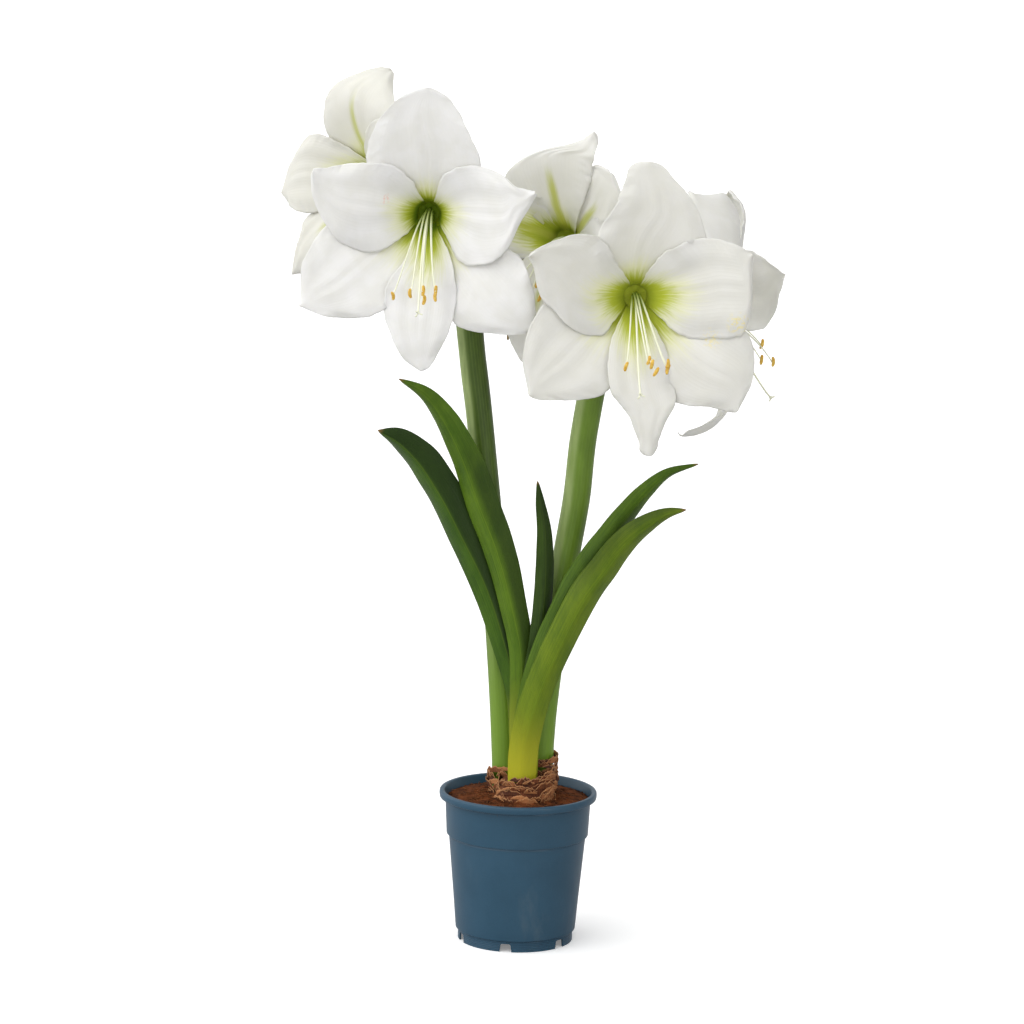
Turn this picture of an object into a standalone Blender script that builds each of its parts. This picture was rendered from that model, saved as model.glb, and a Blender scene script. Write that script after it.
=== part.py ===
"""An amaryllis in flower in a round plastic pot: one bulb, two stems, five leaves, five blooms.

Lengths are metres. The pot stands on z = 0 around the z axis, and the front is at -y.
"""

import math

import bmesh
import bpy
import numpy as np

GAP = 0.0003  # left between pieces that rest on each other

# Pot: a thrown-away growing pot of 12 cm, with a rolled lip, a wider band under it and a foot
POT_STEPS = 36
POT_WALL = 0.0013
POT_HEIGHT = 0.116
LIP_BOTTOM = 0.1102
BAND_BOTTOM = 0.082
FOOT_HEIGHT = 0.0082
FLOOR_UNDER = 0.0066
FLOOR_TOP = 0.0080
RIM_RADIUS = 0.060
RIM_INNER = 0.0563
BAND_TOP_RADIUS = 0.0553
BAND_LOW_RADIUS = 0.0540
BODY_TOP_RADIUS = 0.0521
BODY_LOW_RADIUS = 0.0457
FOOT_RADIUS = 0.0438
DISC_RADIUS = 0.014  # the sunken middle of the floor, which stands on the ground
NOTCHES = 6
NOTCH_TURN = math.radians(-9.5)
NOTCH_HEIGHT = 0.0063
NOTCH_TOP_WIDTH = 0.0078
NOTCH_LOW_WIDTH = 0.0095
DRAIN_RADIUS = 0.0045
DRAIN_CIRCLE = 0.031

SOIL_EDGE = 0.1095
SOIL_MIDDLE = 0.1125

# Bulb: radius and centre at each height, from the basal plate to the top of the neck
BULB_STEPS = 18
BULB_RINGS = (
    (0.0345, 0.011, 0.002, -0.001),
    (0.0375, 0.021, 0.002, -0.001),
    (0.0460, 0.031, 0.002, -0.001),
    (0.0600, 0.0365, 0.003, -0.002),
    (0.0760, 0.0370, 0.004, -0.003),
    (0.0900, 0.0330, 0.005, -0.005),
    (0.1010, 0.0275, 0.006, -0.007),
    (0.1120, 0.0242, 0.007, -0.008),
    (0.1215, 0.0232, 0.0075, -0.008),
    (0.1290, 0.0212, 0.0075, -0.008),
    (0.1310, 0.0190, 0.0075, -0.008),
)
ROOTS = 5
ROOT_RADIUS = 0.0013

# Stems: centre and radius from the bulb to the umbel
STEM_STEPS = 12
STEM_LEFT = (
    (-0.0093, 0.0175, 0.1120, 0.0104),
    (-0.0106, 0.0175, 0.1400, 0.0103),
    (-0.0134, 0.0170, 0.1830, 0.0102),
    (-0.0163, 0.0160, 0.2220, 0.0101),
    (-0.0220, 0.0130, 0.2835, 0.0100),
    (-0.0294, 0.0100, 0.3490, 0.0100),
    (-0.0359, 0.0070, 0.4060, 0.0100),
    (-0.0420, 0.0050, 0.4515, 0.0100),
    (-0.0458, 0.0040, 0.4890, 0.0101),
    (-0.0470, 0.0040, 0.5120, 0.0106),
    (-0.0472, 0.0040, 0.5180, 0.0090),
)
STEM_RIGHT = (
    (0.0152, 0.0170, 0.1120, 0.0108),
    (0.0162, 0.0170, 0.1500, 0.0106),
    (0.0214, 0.0160, 0.2104, 0.0104),
    (0.0272, 0.0150, 0.2609, 0.0103),
    (0.0338, 0.0140, 0.3036, 0.0103),
    (0.0390, 0.0120, 0.3384, 0.0102),
    (0.0430, 0.0100, 0.3846, 0.0102),
    (0.0474, 0.0080, 0.4154, 0.0102),
    (0.0520, 0.0060, 0.4460, 0.0103),
    (0.0553, 0.0045, 0.4690, 0.0107),
    (0.0560, 0.0040, 0.4750, 0.0090),
)
# Papery collars of the bulb around the foot of each stem: centre, top and radius
COLLARS = (
    ((-0.006, 0.010, 0.085), (-0.0097, 0.0175, 0.1335), 0.0165, 0.0135),
    ((0.012, 0.009, 0.085), (0.0158, 0.0170, 0.1400), 0.0185, 0.0150),
)

# Leaves: centre line, half width, turn of the outer face to the right in degrees, hollow
LEAF_THICKNESS = 0.0024
LEAVES = {
    "leaf_1": (
        (0.0015, -0.0005, 0.1200, 0.0080, 0, 0.0028),
        (0.0002, -0.0005, 0.1586, 0.0080, 0, 0.0028),
        (-0.0020, -0.0002, 0.1855, 0.0080, 0, 0.0030),
        (-0.0135, -0.0015, 0.2315, 0.0102, -4, 0.0040),
        (-0.0285, -0.0035, 0.2750, 0.0124, -10, 0.0055),
        (-0.0458, -0.0050, 0.3099, 0.0140, -20, 0.0070),
        (-0.0646, -0.0050, 0.3448, 0.0152, -28, 0.0075),
        (-0.0825, -0.0070, 0.3705, 0.0142, -32, 0.0070),
        (-0.0982, -0.0090, 0.3850, 0.0092, -34, 0.0040),
        (-0.1109, -0.0110, 0.3916, 0.0012, -34, 0.0004),
    ),
    "leaf_2": (
        (0.0020, -0.0060, 0.1200, 0.0085, 0, 0.0028),
        (0.0010, -0.0060, 0.1601, 0.0085, 0, 0.0028),
        (0.0006, -0.0070, 0.1954, 0.0088, -3, 0.0032),
        (0.0000, -0.0090, 0.2213, 0.0092, -6, 0.0038),
        (-0.0086, -0.0130, 0.2631, 0.0105, -12, 0.0050),
        (-0.0191, -0.0170, 0.3008, 0.0125, -18, 0.0060),
        (-0.0341, -0.0200, 0.3390, 0.0138, -24, 0.0065),
        (-0.0482, -0.0240, 0.3763, 0.0125, -28, 0.0060),
        (-0.0621, -0.0280, 0.4037, 0.0098, -30, 0.0045),
        (-0.0757, -0.0320, 0.4219, 0.0062, -30, 0.0025),
        (-0.0950, -0.0370, 0.4340, 0.0010, -30, 0.0004),
    ),
    "leaf_3": (
        (0.0030, -0.0115, 0.1200, 0.0090, 0, 0.0028),
        (0.0048, -0.0118, 0.1609, 0.0090, 4, 0.0026),
        (0.0090, -0.0125, 0.1956, 0.0085, 14, 0.0024),
        (0.0137, -0.0120, 0.2341, 0.0080, 18, 0.0024),
        (0.0160, -0.0100, 0.2646, 0.0074, 18, 0.0024),
        (0.0166, -0.0090, 0.2976, 0.0068, 14, 0.0026),
        (0.0155, -0.0090, 0.3182, 0.0056, 16, 0.0020),
        (0.0118, -0.0095, 0.3403, 0.0034, 16, 0.0010),
        (0.0093, -0.0100, 0.3556, 0.0008, 16, 0.0003),
    ),
    "leaf_4": (
        (0.0035, -0.0170, 0.1200, 0.0105, 0, 0.0032),
        (0.0050, -0.0178, 0.1620, 0.0105, 4, 0.0034),
        (0.0125, -0.0185, 0.2073, 0.0104, 12, 0.0036),
        (0.0188, -0.0180, 0.2273, 0.0105, 14, 0.0040),
        (0.0307, -0.0165, 0.2556, 0.0108, 18, 0.0046),
        (0.0466, -0.0145, 0.2869, 0.0110, 22, 0.0054),
        (0.0640, -0.0120, 0.3116, 0.0104, 24, 0.0055),
        (0.0771, -0.0120, 0.3310, 0.0092, 26, 0.0048),
        (0.0901, -0.0125, 0.3480, 0.0074, 28, 0.0035),
        (0.1069, -0.0130, 0.3637, 0.0042, 28, 0.0015),
        (0.1291, -0.0140, 0.3719, 0.0009, 28, 0.0003),
    ),
    "leaf_5": (
        (0.0033, -0.0225, 0.1200, 0.0130, 0, 0.0036),
        (0.0040, -0.0240, 0.1520, 0.0124, 2, 0.0038),
        (0.0103, -0.0262, 0.1860, 0.0114, 8, 0.0042),
        (0.0203, -0.0275, 0.2144, 0.0114, 12, 0.0046),
        (0.0324, -0.0285, 0.2419, 0.0118, 14, 0.0052),
        (0.0460, -0.0290, 0.2693, 0.0120, 14, 0.0064),
        (0.0618, -0.0310, 0.2930, 0.0116, 18, 0.0062),
        (0.0768, -0.0340, 0.3143, 0.0104, 22, 0.0055),
        (0.0905, -0.0360, 0.3270, 0.0084, 24, 0.0042),
        (0.1065, -0.0380, 0.3375, 0.0046, 26, 0.0018),
        (0.1197, -0.0400, 0.3412, 0.0010, 26, 0.0004),
    ),
}
LEAF_ROWS = 13

# Blooms. Slope of the bloom's wall against its axis, by the way along the wall from the tube
SLOPE_WAY = (0.0, 0.020, 0.035, 0.050, 0.080, 0.110, 0.130, 0.160)
SLOPE_ANGLE = (6, 10, 35, 55, 68, 78, 92, 112)
CURL_FROM = 0.068
CURL_OVER = 0.065
TUBE_RADIUS = 0.0062
TUBE_WAY = 0.027
TUBE_HALF_WALL = 0.0014
TEPAL_START = 0.0235
TEPAL_THICKNESS = 0.0009
WHORL_OFFSET = 0.0017
PEDICEL_RADIUS = 0.0036
OVARY_LENGTH = 0.016
OVARY_RADIUS = 0.0056

# Each bloom: foot of its tube, axis, how far its stamens droop, and six tepals as (bearing
# clockwise from the top in degrees, length, half width, flare, curl of the end and sweep of
# the end in degrees, whorl: 1 for the inner and -1 for the outer)
BLOOMS = {
    "a": (
        (-0.0730, -0.0350, 0.5600), (-0.085, -0.990, -0.055), 1.0,
        ((1, 0.128, 0.0400, 1.0, 10, 0, -1), (77, 0.118, 0.0315, 1.0, 0, -2, 1),
         (132, 0.139, 0.0370, 1.0, 10, 0, -1), (178, 0.136, 0.0275, 1.0, 10, 0, 1),
         (239, 0.136, 0.0380, 1.0, 10, 0, -1), (285, 0.115, 0.0320, 1.0, 0, 0, 1)),
    ),
    "b": (
        (0.0770, -0.0500, 0.5035), (-0.010, -0.990, -0.020), 1.0,
        ((2, 0.132, 0.0370, 1.0, 10, -2, -1), (62, 0.124, 0.0335, 1.0, 0, 0, 1),
         (135, 0.139, 0.0390, 1.0, 10, 0, -1), (175, 0.138, 0.0270, 1.0, 10, 0, 1),
         (236, 0.135, 0.0380, 1.0, 10, 0, -1), (297, 0.120, 0.0335, 1.0, 0, 0, 1)),
    ),
    "c": (
        (0.0330, 0.0330, 0.5290), (-0.300, -0.900, 0.260), 1.0,
        ((-3, 0.114, 0.0345, 1.0, 88, 12, -1), (55, 0.108, 0.0310, 1.0, 60, 0, 1),
         (122, 0.100, 0.0320, 1.0, 115, 0, -1), (184, 0.130, 0.0270, 1.0, 35, 0, 1),
         (235, 0.095, 0.0320, 1.0, 70, 0, -1), (280, 0.092, 0.0280, 1.0, 110, 0, 1)),
    ),
    "d": (
        (0.0980, 0.0320, 0.4860), (0.980, -0.080, 0.000), 0.92,
        ((335, 0.146, 0.0350, 0.96, 60, 0, -1), (30, 0.122, 0.0320, 1.05, 60, 0, 1),
         (90, 0.128, 0.0340, 1.05, 60, 0, -1), (150, 0.126, 0.0280, 1.05, 60, 0, 1),
         (203, 0.150, 0.0290, 1.05, 45, 0, -1), (284, 0.122, 0.0320, 0.73, 10, 0, 1)),
    ),
    "e": (
        (-0.0900, 0.0320, 0.5740), (-0.760, -0.640, 0.050), 1.0,
        ((-15, 0.143, 0.0400, 1.0, 112, 12, -1), (58, 0.104, 0.0290, 1.0, 85, 0, 1),
         (140, 0.112, 0.0310, 1.0, 80, 0, -1), (184, 0.122, 0.0260, 1.0, 55, 0, 1),
         (224, 0.130, 0.0330, 1.0, 45, 0, -1), (262, 0.104, 0.0290, 1.0, 35, -8, 1)),
    ),
}
TEPAL_ROWS = 6
TEPAL_COLUMNS = 4

BRACT_WIDTH = 0.020
BRACT_THICKNESS = 0.0008

# Stamens: where each anther ends, as (right, up, out) from the foot of the tube
FILAMENT_RADIUS = 0.0007
ANTHER_LENGTH = 0.008
ANTHER_RADIUS = 0.0014
ANTHERS = (
    (-0.020, -0.050, 0.080),
    (-0.007, -0.047, 0.085),
    (0.003, -0.044, 0.088),
    (0.004, -0.053, 0.083),
    (0.013, -0.044, 0.086),
    (0.017, -0.051, 0.081),
)
STYLE_END = (0.000, -0.060, 0.100)


def clear_scene():
    for obj in list(bpy.data.objects):
        bpy.data.objects.remove(obj)


def material(name, color, roughness):
    made = bpy.data.materials.new(name)
    made.use_nodes = True
    shader = made.node_tree.nodes["Principled BSDF"]
    shader.inputs["Base Color"].default_value = (*color, 1)
    shader.inputs["Roughness"].default_value = roughness
    made.diffuse_color = (*color, 1)
    return made


def solid(name, points, faces, look):
    """Makes an object of the closed surface, with its faces turned outwards."""
    mesh = bpy.data.meshes.new(name)
    mesh.from_pydata([tuple(map(float, point)) for point in points], [], faces)
    edit = bmesh.new()
    edit.from_mesh(mesh)
    bmesh.ops.recalc_face_normals(edit, faces=edit.faces)
    if edit.calc_volume(signed=True) < 0:
        bmesh.ops.reverse_faces(edit, faces=edit.faces)
    edit.to_mesh(mesh)
    edit.free()
    mesh.shade_smooth()
    mesh.materials.append(look)
    obj = bpy.data.objects.new(name, mesh)
    bpy.context.scene.collection.objects.link(obj)
    return obj


def combine(obj, others, operation):
    """Joins the others to the object, or cuts them from it, and removes them."""
    group = bpy.data.collections.new("group")
    for other in others:
        group.objects.link(other)
    boolean = obj.modifiers.new("Combine", "BOOLEAN")
    boolean.operation = operation
    boolean.operand_type = "COLLECTION"
    boolean.collection = group
    boolean.solver = "MANIFOLD"
    bpy.context.scene.collection.children.link(group)
    graph = bpy.context.evaluated_depsgraph_get()
    mesh = bpy.data.meshes.new_from_object(obj.evaluated_get(graph))
    obj.modifiers.clear()
    obj.data = mesh
    mesh.name = obj.name
    for other in others:
        bpy.data.objects.remove(other)
    bpy.data.collections.remove(group)
    return obj


def without_pockets(obj):
    """Keeps only the outer skin, so that pockets closed in by crossing blades are filled."""
    mesh = bmesh.new()
    mesh.from_mesh(obj.data)
    left, skins = set(mesh.verts), []
    while left:
        skin, edge = set(), [left.pop()]
        while edge:
            vert = edge.pop()
            skin.add(vert)
            near = [link.other_vert(vert) for link in vert.link_edges]
            edge += [other for other in near if other in left]
            left.difference_update(near)
        skins.append(skin)
    skins.sort(key=len)
    for skin in skins[:-1]:
        bmesh.ops.delete(mesh, geom=sorted(skin, key=lambda vert: vert.index), context="VERTS")
    mesh.to_mesh(obj.data)
    mesh.free()
    return obj


def sharpen(obj, degrees=35):
    """Keeps round faces smooth and shows the edges steeper than the angle."""
    obj.data.set_sharp_from_angle(angle=math.radians(degrees))


def turned(name, rings, steps, look):
    """A solid of round rings, each (height, radius, centre x, centre y), closed by flat ends."""
    points, faces = [], []
    for height, radius, x, y in rings:
        for step in range(steps):
            angle = 2 * math.pi * step / steps
            points.append((x + radius * math.cos(angle), y + radius * math.sin(angle), height))
    for ring in range(len(rings) - 1):
        for step in range(steps):
            a, b = ring * steps + step, ring * steps + (step + 1) % steps
            faces.append((a, b, b + steps, a + steps))
    last = (len(rings) - 1) * steps
    faces.append(tuple(reversed(range(steps))))
    faces.append(tuple(range(last, last + steps)))
    return solid(name, points, faces, look)


def swept(name, path, radii, sides, look):
    """A rod of round section along the points of a path, closed at both ends."""
    path = np.asarray(path, float)
    along = np.gradient(path, axis=0)
    along /= np.linalg.norm(along, axis=1)[:, None]
    side = np.cross(along[0], (0.0, 1.0, 0.0) if abs(along[0][1]) < 0.8 else (1.0, 0.0, 0.0))
    points, faces = [], []
    for centre, way, radius in zip(path, along, radii):
        side = side - way * side.dot(way)
        side /= np.linalg.norm(side)
        other = np.cross(way, side)
        for step in range(sides):
            angle = 2 * math.pi * step / sides
            points.append(centre + radius * (math.cos(angle) * side + math.sin(angle) * other))
    for ring in range(len(path) - 1):
        for step in range(sides):
            a, b = ring * sides + step, ring * sides + (step + 1) % sides
            faces.append((a, b, b + sides, a + sides))
    last = (len(path) - 1) * sides
    faces.append(tuple(reversed(range(sides))))
    faces.append(tuple(range(last, last + sides)))
    return solid(name, points, faces, look)


def sheet(name, middle, thickness, look):
    """A thin blade around a grid of points, both faces split into the same triangles."""
    rows, columns = middle.shape[:2]
    across = np.gradient(middle, axis=1)
    along = np.gradient(middle, axis=0)
    normal = np.cross(along, across)
    normal /= np.linalg.norm(normal, axis=2)[:, :, None]
    front = middle + normal * thickness / 2
    back = middle - normal * thickness / 2
    points = np.concatenate([front.reshape(-1, 3), back.reshape(-1, 3)])
    far = rows * columns
    faces = []
    for row in range(rows - 1):
        for column in range(columns - 1):
            a = row * columns + column
            b, c, d = a + 1, a + columns, a + columns + 1
            pair = [(a, b, d), (a, d, c)] if (row + column) % 2 else [(a, b, c), (b, d, c)]
            for corners in pair:
                faces.append(corners)
                faces.append(tuple(far + corner for corner in reversed(corners)))
    rim = [column for column in range(columns - 1)]
    rim += [row * columns + columns - 1 for row in range(rows - 1)]
    rim += [(rows - 1) * columns + column for column in range(columns - 1, 0, -1)]
    rim += [row * columns for row in range(rows - 1, 0, -1)]
    for here, there in zip(rim, rim[1:] + rim[:1]):
        faces.append((here, there, far + there))
        faces.append((here, far + there, far + here))
    return solid(name, points, faces, look)


def curve_through(rows, count):
    """Points spaced evenly along a smooth curve through rows of numbers, the first three a place."""
    rows = np.asarray(rows, float)
    way = np.concatenate([[0], np.cumsum(np.linalg.norm(np.diff(rows[:, :3], axis=0), axis=1))])
    slope = np.gradient(rows, way, axis=0)
    found = []
    for at in np.linspace(0, way[-1], count):
        i = min(int(np.searchsorted(way, at, "right")) - 1, len(way) - 2)
        span = way[i + 1] - way[i]
        t = (at - way[i]) / span
        found.append(
            (2 * t**3 - 3 * t**2 + 1) * rows[i]
            + (t**3 - 2 * t**2 + t) * span * slope[i]
            + (3 * t**2 - 2 * t**3) * rows[i + 1]
            + (t**3 - t**2) * span * slope[i + 1]
        )
    return np.array(found)


def bezier(corners, count):
    a, b, c, d = (np.asarray(corner, float) for corner in corners)
    t = np.linspace(0, 1, count)[:, None]
    return (1 - t) ** 3 * a + 3 * (1 - t) ** 2 * t * b + 3 * (1 - t) * t**2 * c + t**3 * d


def pot(look):
    wall = POT_WALL
    rings = (
        (0.0, DISC_RADIUS),
        (FLOOR_UNDER, DISC_RADIUS + 0.0015),
        (FLOOR_UNDER, FOOT_RADIUS - wall),
        (0.0, FOOT_RADIUS - wall),
        (0.0, FOOT_RADIUS),
        (FOOT_HEIGHT, FOOT_RADIUS),
        (FOOT_HEIGHT + 0.0004, BODY_LOW_RADIUS),
        (BAND_BOTTOM - 0.0004, BODY_TOP_RADIUS),
        (BAND_BOTTOM, BAND_LOW_RADIUS),
        (LIP_BOTTOM, BAND_TOP_RADIUS),
        (LIP_BOTTOM, RIM_RADIUS - 0.0008),
        (LIP_BOTTOM + 0.0012, RIM_RADIUS),
        (POT_HEIGHT - 0.0014, RIM_RADIUS),
        (POT_HEIGHT, RIM_RADIUS - 0.0014),
        (POT_HEIGHT, RIM_INNER + 0.0008),
        (POT_HEIGHT - 0.0010, RIM_INNER),
        (LIP_BOTTOM - 0.0012, BAND_TOP_RADIUS - wall),
        (BAND_BOTTOM + 0.0010, BAND_LOW_RADIUS - wall),
        (BAND_BOTTOM - 0.0016, BODY_TOP_RADIUS - wall),
        (FLOOR_TOP, BODY_LOW_RADIUS - wall),
        (FLOOR_TOP, DISC_RADIUS + 0.0004),
        (0.0014, DISC_RADIUS - 0.0012),
    )
    obj = turned("pot", [(*ring, 0, 0) for ring in rings], POT_STEPS, look)
    cuts = []
    for count in range(NOTCHES):
        angle = NOTCH_TURN + 2 * math.pi * count / NOTCHES
        out = np.array((math.sin(angle), -math.cos(angle), 0))
        side = np.array((math.cos(angle), math.sin(angle), 0))
        corners = []
        for reach in (FOOT_RADIUS - 0.005, FOOT_RADIUS + 0.004):
            for half, height in (
                (-NOTCH_LOW_WIDTH / 2, -0.001), (NOTCH_LOW_WIDTH / 2, -0.001),
                (NOTCH_TOP_WIDTH / 2, NOTCH_HEIGHT), (-NOTCH_TOP_WIDTH / 2, NOTCH_HEIGHT),
            ):
                corners.append(out * reach + side * half + np.array((0, 0, height)))
        faces = [(0, 1, 2, 3), (4, 5, 6, 7), (0, 1, 5, 4), (1, 2, 6, 5), (2, 3, 7, 6), (3, 0, 4, 7)]
        cuts.append(solid("notch", corners, faces, look))
        x, y = out[0] * DRAIN_CIRCLE, out[1] * DRAIN_CIRCLE
        hole = ((FLOOR_UNDER - 0.002, DRAIN_RADIUS, x, y), (FLOOR_TOP + 0.002, DRAIN_RADIUS, x, y))
        cuts.append(turned("drain", hole, 12, look))
    combine(obj, cuts, "DIFFERENCE")
    sharpen(obj)
    return obj


def bulb_body(look, grow):
    """The bulb with its roots and collars, every wall moved out by grow."""
    middle = 0.070
    rings = [
        (height + (grow * 1.4 if height > middle else -grow * 1.4), radius + grow * 1.2, x, y)
        for height, radius, x, y in BULB_RINGS
    ]
    obj = turned("bulb", rings, BULB_STEPS, look)
    more = []
    for low, high, low_radius, high_radius in COLLARS:
        path = np.linspace(low, high, 2)
        path[-1][2] += grow
        radii = np.array((low_radius, high_radius)) + grow
        more.append(swept("collar", path, radii, 16, look))
    for count in range(ROOTS):
        angle = 2 * math.pi * (count + 0.3) / ROOTS
        out = np.array((math.cos(angle), math.sin(angle), 0))
        sink = 0.004 * math.sin(2.4 * count)
        start = np.array((0.002, -0.001, 0.040)) + 0.007 * out
        ends = (
            start,
            start + 0.012 * out + np.array((0, 0, -0.012)),
            start + 0.020 * out + np.array((0, 0, -0.012 + sink)),
            start + (0.030 + sink) * out + np.array((0, 0, -0.024 + sink)),
        )
        path = bezier(ends, 5)
        radii = np.array((1.1, 1.0, 1.0, 0.9, 0.6)) * ROOT_RADIUS + grow
        path[-1] += grow * (path[-1] - path[-2]) / np.linalg.norm(path[-1] - path[-2])
        more.append(swept("root", path, radii, 5, look))
    return combine(obj, more, "UNION")


def leaf(name, look, grow=0.0):
    """A channelled strap. Its first row stands in the neck of the bulb."""
    rows = curve_through(LEAVES[name], LEAF_ROWS)
    middle = []
    places = rows[:, :3].copy()
    along = np.gradient(places, axis=0)
    along /= np.linalg.norm(along, axis=1)[:, None]
    places[0] -= along[0] * grow
    for place, way, (half, turn, hollow) in zip(places, along, rows[:, 3:]):
        facing = np.array((0.0, -1.0, 0.0))
        facing -= way * facing.dot(way)
        facing /= np.linalg.norm(facing)
        right = np.cross(way, facing)
        angle = math.radians(turn)
        face = facing * math.cos(angle) + right * math.sin(angle)
        across = right * math.cos(angle) - facing * math.sin(angle)
        edge = 1 + grow / half
        middle.append(
            [place + across * half * u - face * hollow * u * u
             for u in (-edge, -0.5, 0.0, 0.5, edge)]
        )
    return sheet(name, np.array(middle), LEAF_THICKNESS + 2 * grow, look)


def scape(name, rows, look):
    rows = np.asarray(rows)
    return swept(name, rows[:, :3], rows[:, 3], STEM_STEPS, look)


def bloom_frame(key):
    """The foot of the bloom's tube and its right, up and outward directions."""
    foot, axis = BLOOMS[key][:2]
    out = np.array(axis) / np.linalg.norm(axis)
    up = np.array((0.0, 0.0, 1.0))
    up -= out * up.dot(out)
    up /= np.linalg.norm(up)
    return np.array(foot), np.cross(up, out), up, out


def smooth_step(value):
    value = np.clip(value, 0, 1)
    return value * value * (3 - 2 * value)


def between(bearing, tepals, column):
    """A number of the tepals, passing smoothly from one to the next around the bloom."""
    bearings = np.radians([tepal[0] for tepal in tepals])
    order = np.argsort(bearings)
    bearings = bearings[order]
    values = np.array([tepal[column] for tepal in tepals], float)[order]
    bearings = np.concatenate([[bearings[-1] - 2 * math.pi], bearings, [bearings[0] + 2 * math.pi]])
    values = np.concatenate([[values[-1]], values, [values[0]]])
    bearing = np.mod(bearing - bearings[1], 2 * math.pi) + bearings[1]
    at = np.clip(np.searchsorted(bearings, bearing, "right") - 1, 0, len(bearings) - 2)
    part = (bearing - bearings[at]) / (bearings[at + 1] - bearings[at])
    return values[at] + (values[at + 1] - values[at]) * smooth_step(part)


def wall_at(way, flare, curl):
    """Radius and height of the bloom's wall at this way along it from the tube's foot."""
    ways = np.linspace(0, 0.160, 81)
    spread = smooth_step((ways - TUBE_WAY) / 0.020)
    bend = smooth_step((ways - CURL_FROM) / CURL_OVER)
    angle = np.interp(ways, SLOPE_WAY, SLOPE_ANGLE)
    angle = angle * (1 + (flare[..., None] - 1) * spread) + curl[..., None] * bend
    angle = np.radians(angle)
    step = ways[1] - ways[0]
    radius = TUBE_RADIUS + np.cumsum(np.sin(angle), axis=-1) * step
    height = np.cumsum(np.cos(angle), axis=-1) * step
    found = np.clip(way / step, 0, len(ways) - 1.001)
    low = found.astype(int)
    part = found - low

    def take(values):
        first = np.take_along_axis(values, low[..., None], -1)[..., 0]
        second = np.take_along_axis(values, low[..., None] + 1, -1)[..., 0]
        return first + (second - first) * part

    return take(radius), take(height)


def tepal_grid(tepal, tepals, rows, columns):
    """Middle surface of a tepal as (right, up, out), from the tube to the tip."""
    bearing, length, half_width, flare, curl, sweep, whorl = tepal
    along = np.linspace(0, 1, rows + 1) ** 0.9
    across = np.linspace(-1, 1, columns + 1)
    way = TEPAL_START + (length - TEPAL_START) * along
    part = way / length
    shape = part**1.3 * (1 - part) ** 0.62
    peak = (1.3 / 1.92) ** 1.3 * (0.62 / 1.92) ** 0.62
    half = np.maximum(half_width * shape / peak, 0.0009)
    half = np.maximum(half, 0.0062 * (1 - smooth_step((part - 0.15) / 0.3)))
    level = np.ones(way.shape)
    middle_radius, _ = wall_at(way, level * flare, level * curl)
    middle_radius = np.maximum(middle_radius, half * 0.8)
    angle = across[None, :] * (half / middle_radius)[:, None]
    turned_to = math.radians(bearing) + math.radians(sweep) * part[:, None] ** 2 + angle
    ways = np.repeat(way[:, None], columns + 1, axis=1)
    flares, curls = between(turned_to, tepals, 3), between(turned_to, tepals, 4)
    radius, height = wall_at(ways, flares, curls)
    grid = np.stack([radius * np.sin(turned_to), radius * np.cos(turned_to), height], axis=-1)
    normal = np.cross(np.gradient(grid, axis=0), np.gradient(grid, axis=1))
    normal /= np.linalg.norm(normal, axis=2)[:, :, None]
    normal *= np.sign(normal[:, :, 2].mean())
    offset = whorl * WHORL_OFFSET * (0.42 + 0.58 * smooth_step((ways - TUBE_WAY) / 0.02))
    return grid + normal * offset[:, :, None]


def in_place(local, frame):
    foot, right, up, out = frame
    return foot + local[..., :1] * right + local[..., 1:2] * up + local[..., 2:3] * out


def along_axis(name, frame, rings, sides, look):
    """A round solid about the bloom's axis, from rings of (height, radius)."""
    foot, right, up, out = frame
    points, faces = [], []
    for height, radius in rings:
        for step in range(sides):
            angle = 2 * math.pi * step / sides
            points.append(foot + out * height
                          + radius * (right * math.sin(angle) + up * math.cos(angle)))
    for ring in range(len(rings) - 1):
        for step in range(sides):
            a, b = ring * sides + step, ring * sides + (step + 1) % sides
            faces.append((a, b, b + sides, a + sides))
    last = (len(rings) - 1) * sides
    faces.append(tuple(reversed(range(sides))))
    faces.append(tuple(range(last, last + sides)))
    return solid(name, points, faces, look)


def perianth(key, look):
    """Tube and six tepals of a bloom, joined."""
    frame = bloom_frame(key)
    tepals = BLOOMS[key][3]
    ways = np.array((0.0, 0.018, TUBE_WAY))
    radius, height = wall_at(ways, np.ones(len(ways)), np.zeros(len(ways)))
    outer = [(0.0, TUBE_RADIUS - 0.001)]
    outer += [(h, r + TUBE_HALF_WALL) for r, h in zip(radius[1:], height[1:])]
    inner = [(h, r - TUBE_HALF_WALL) for r, h in zip(radius[1:], height[1:])][::-1]
    inner += [(0.0016, TUBE_RADIUS - TUBE_HALF_WALL)]
    tube = along_axis(f"perianth_{key}", frame, outer + inner, 12, look)
    blades = []
    for tepal in tepals:
        grid = tepal_grid(tepal, tepals, TEPAL_ROWS, TEPAL_COLUMNS)
        blades.append(sheet("tepal", in_place(grid, frame), TEPAL_THICKNESS, look))
    obj = without_pockets(combine(tube, blades, "UNION"))
    sharpen(obj, 50)
    return obj


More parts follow.
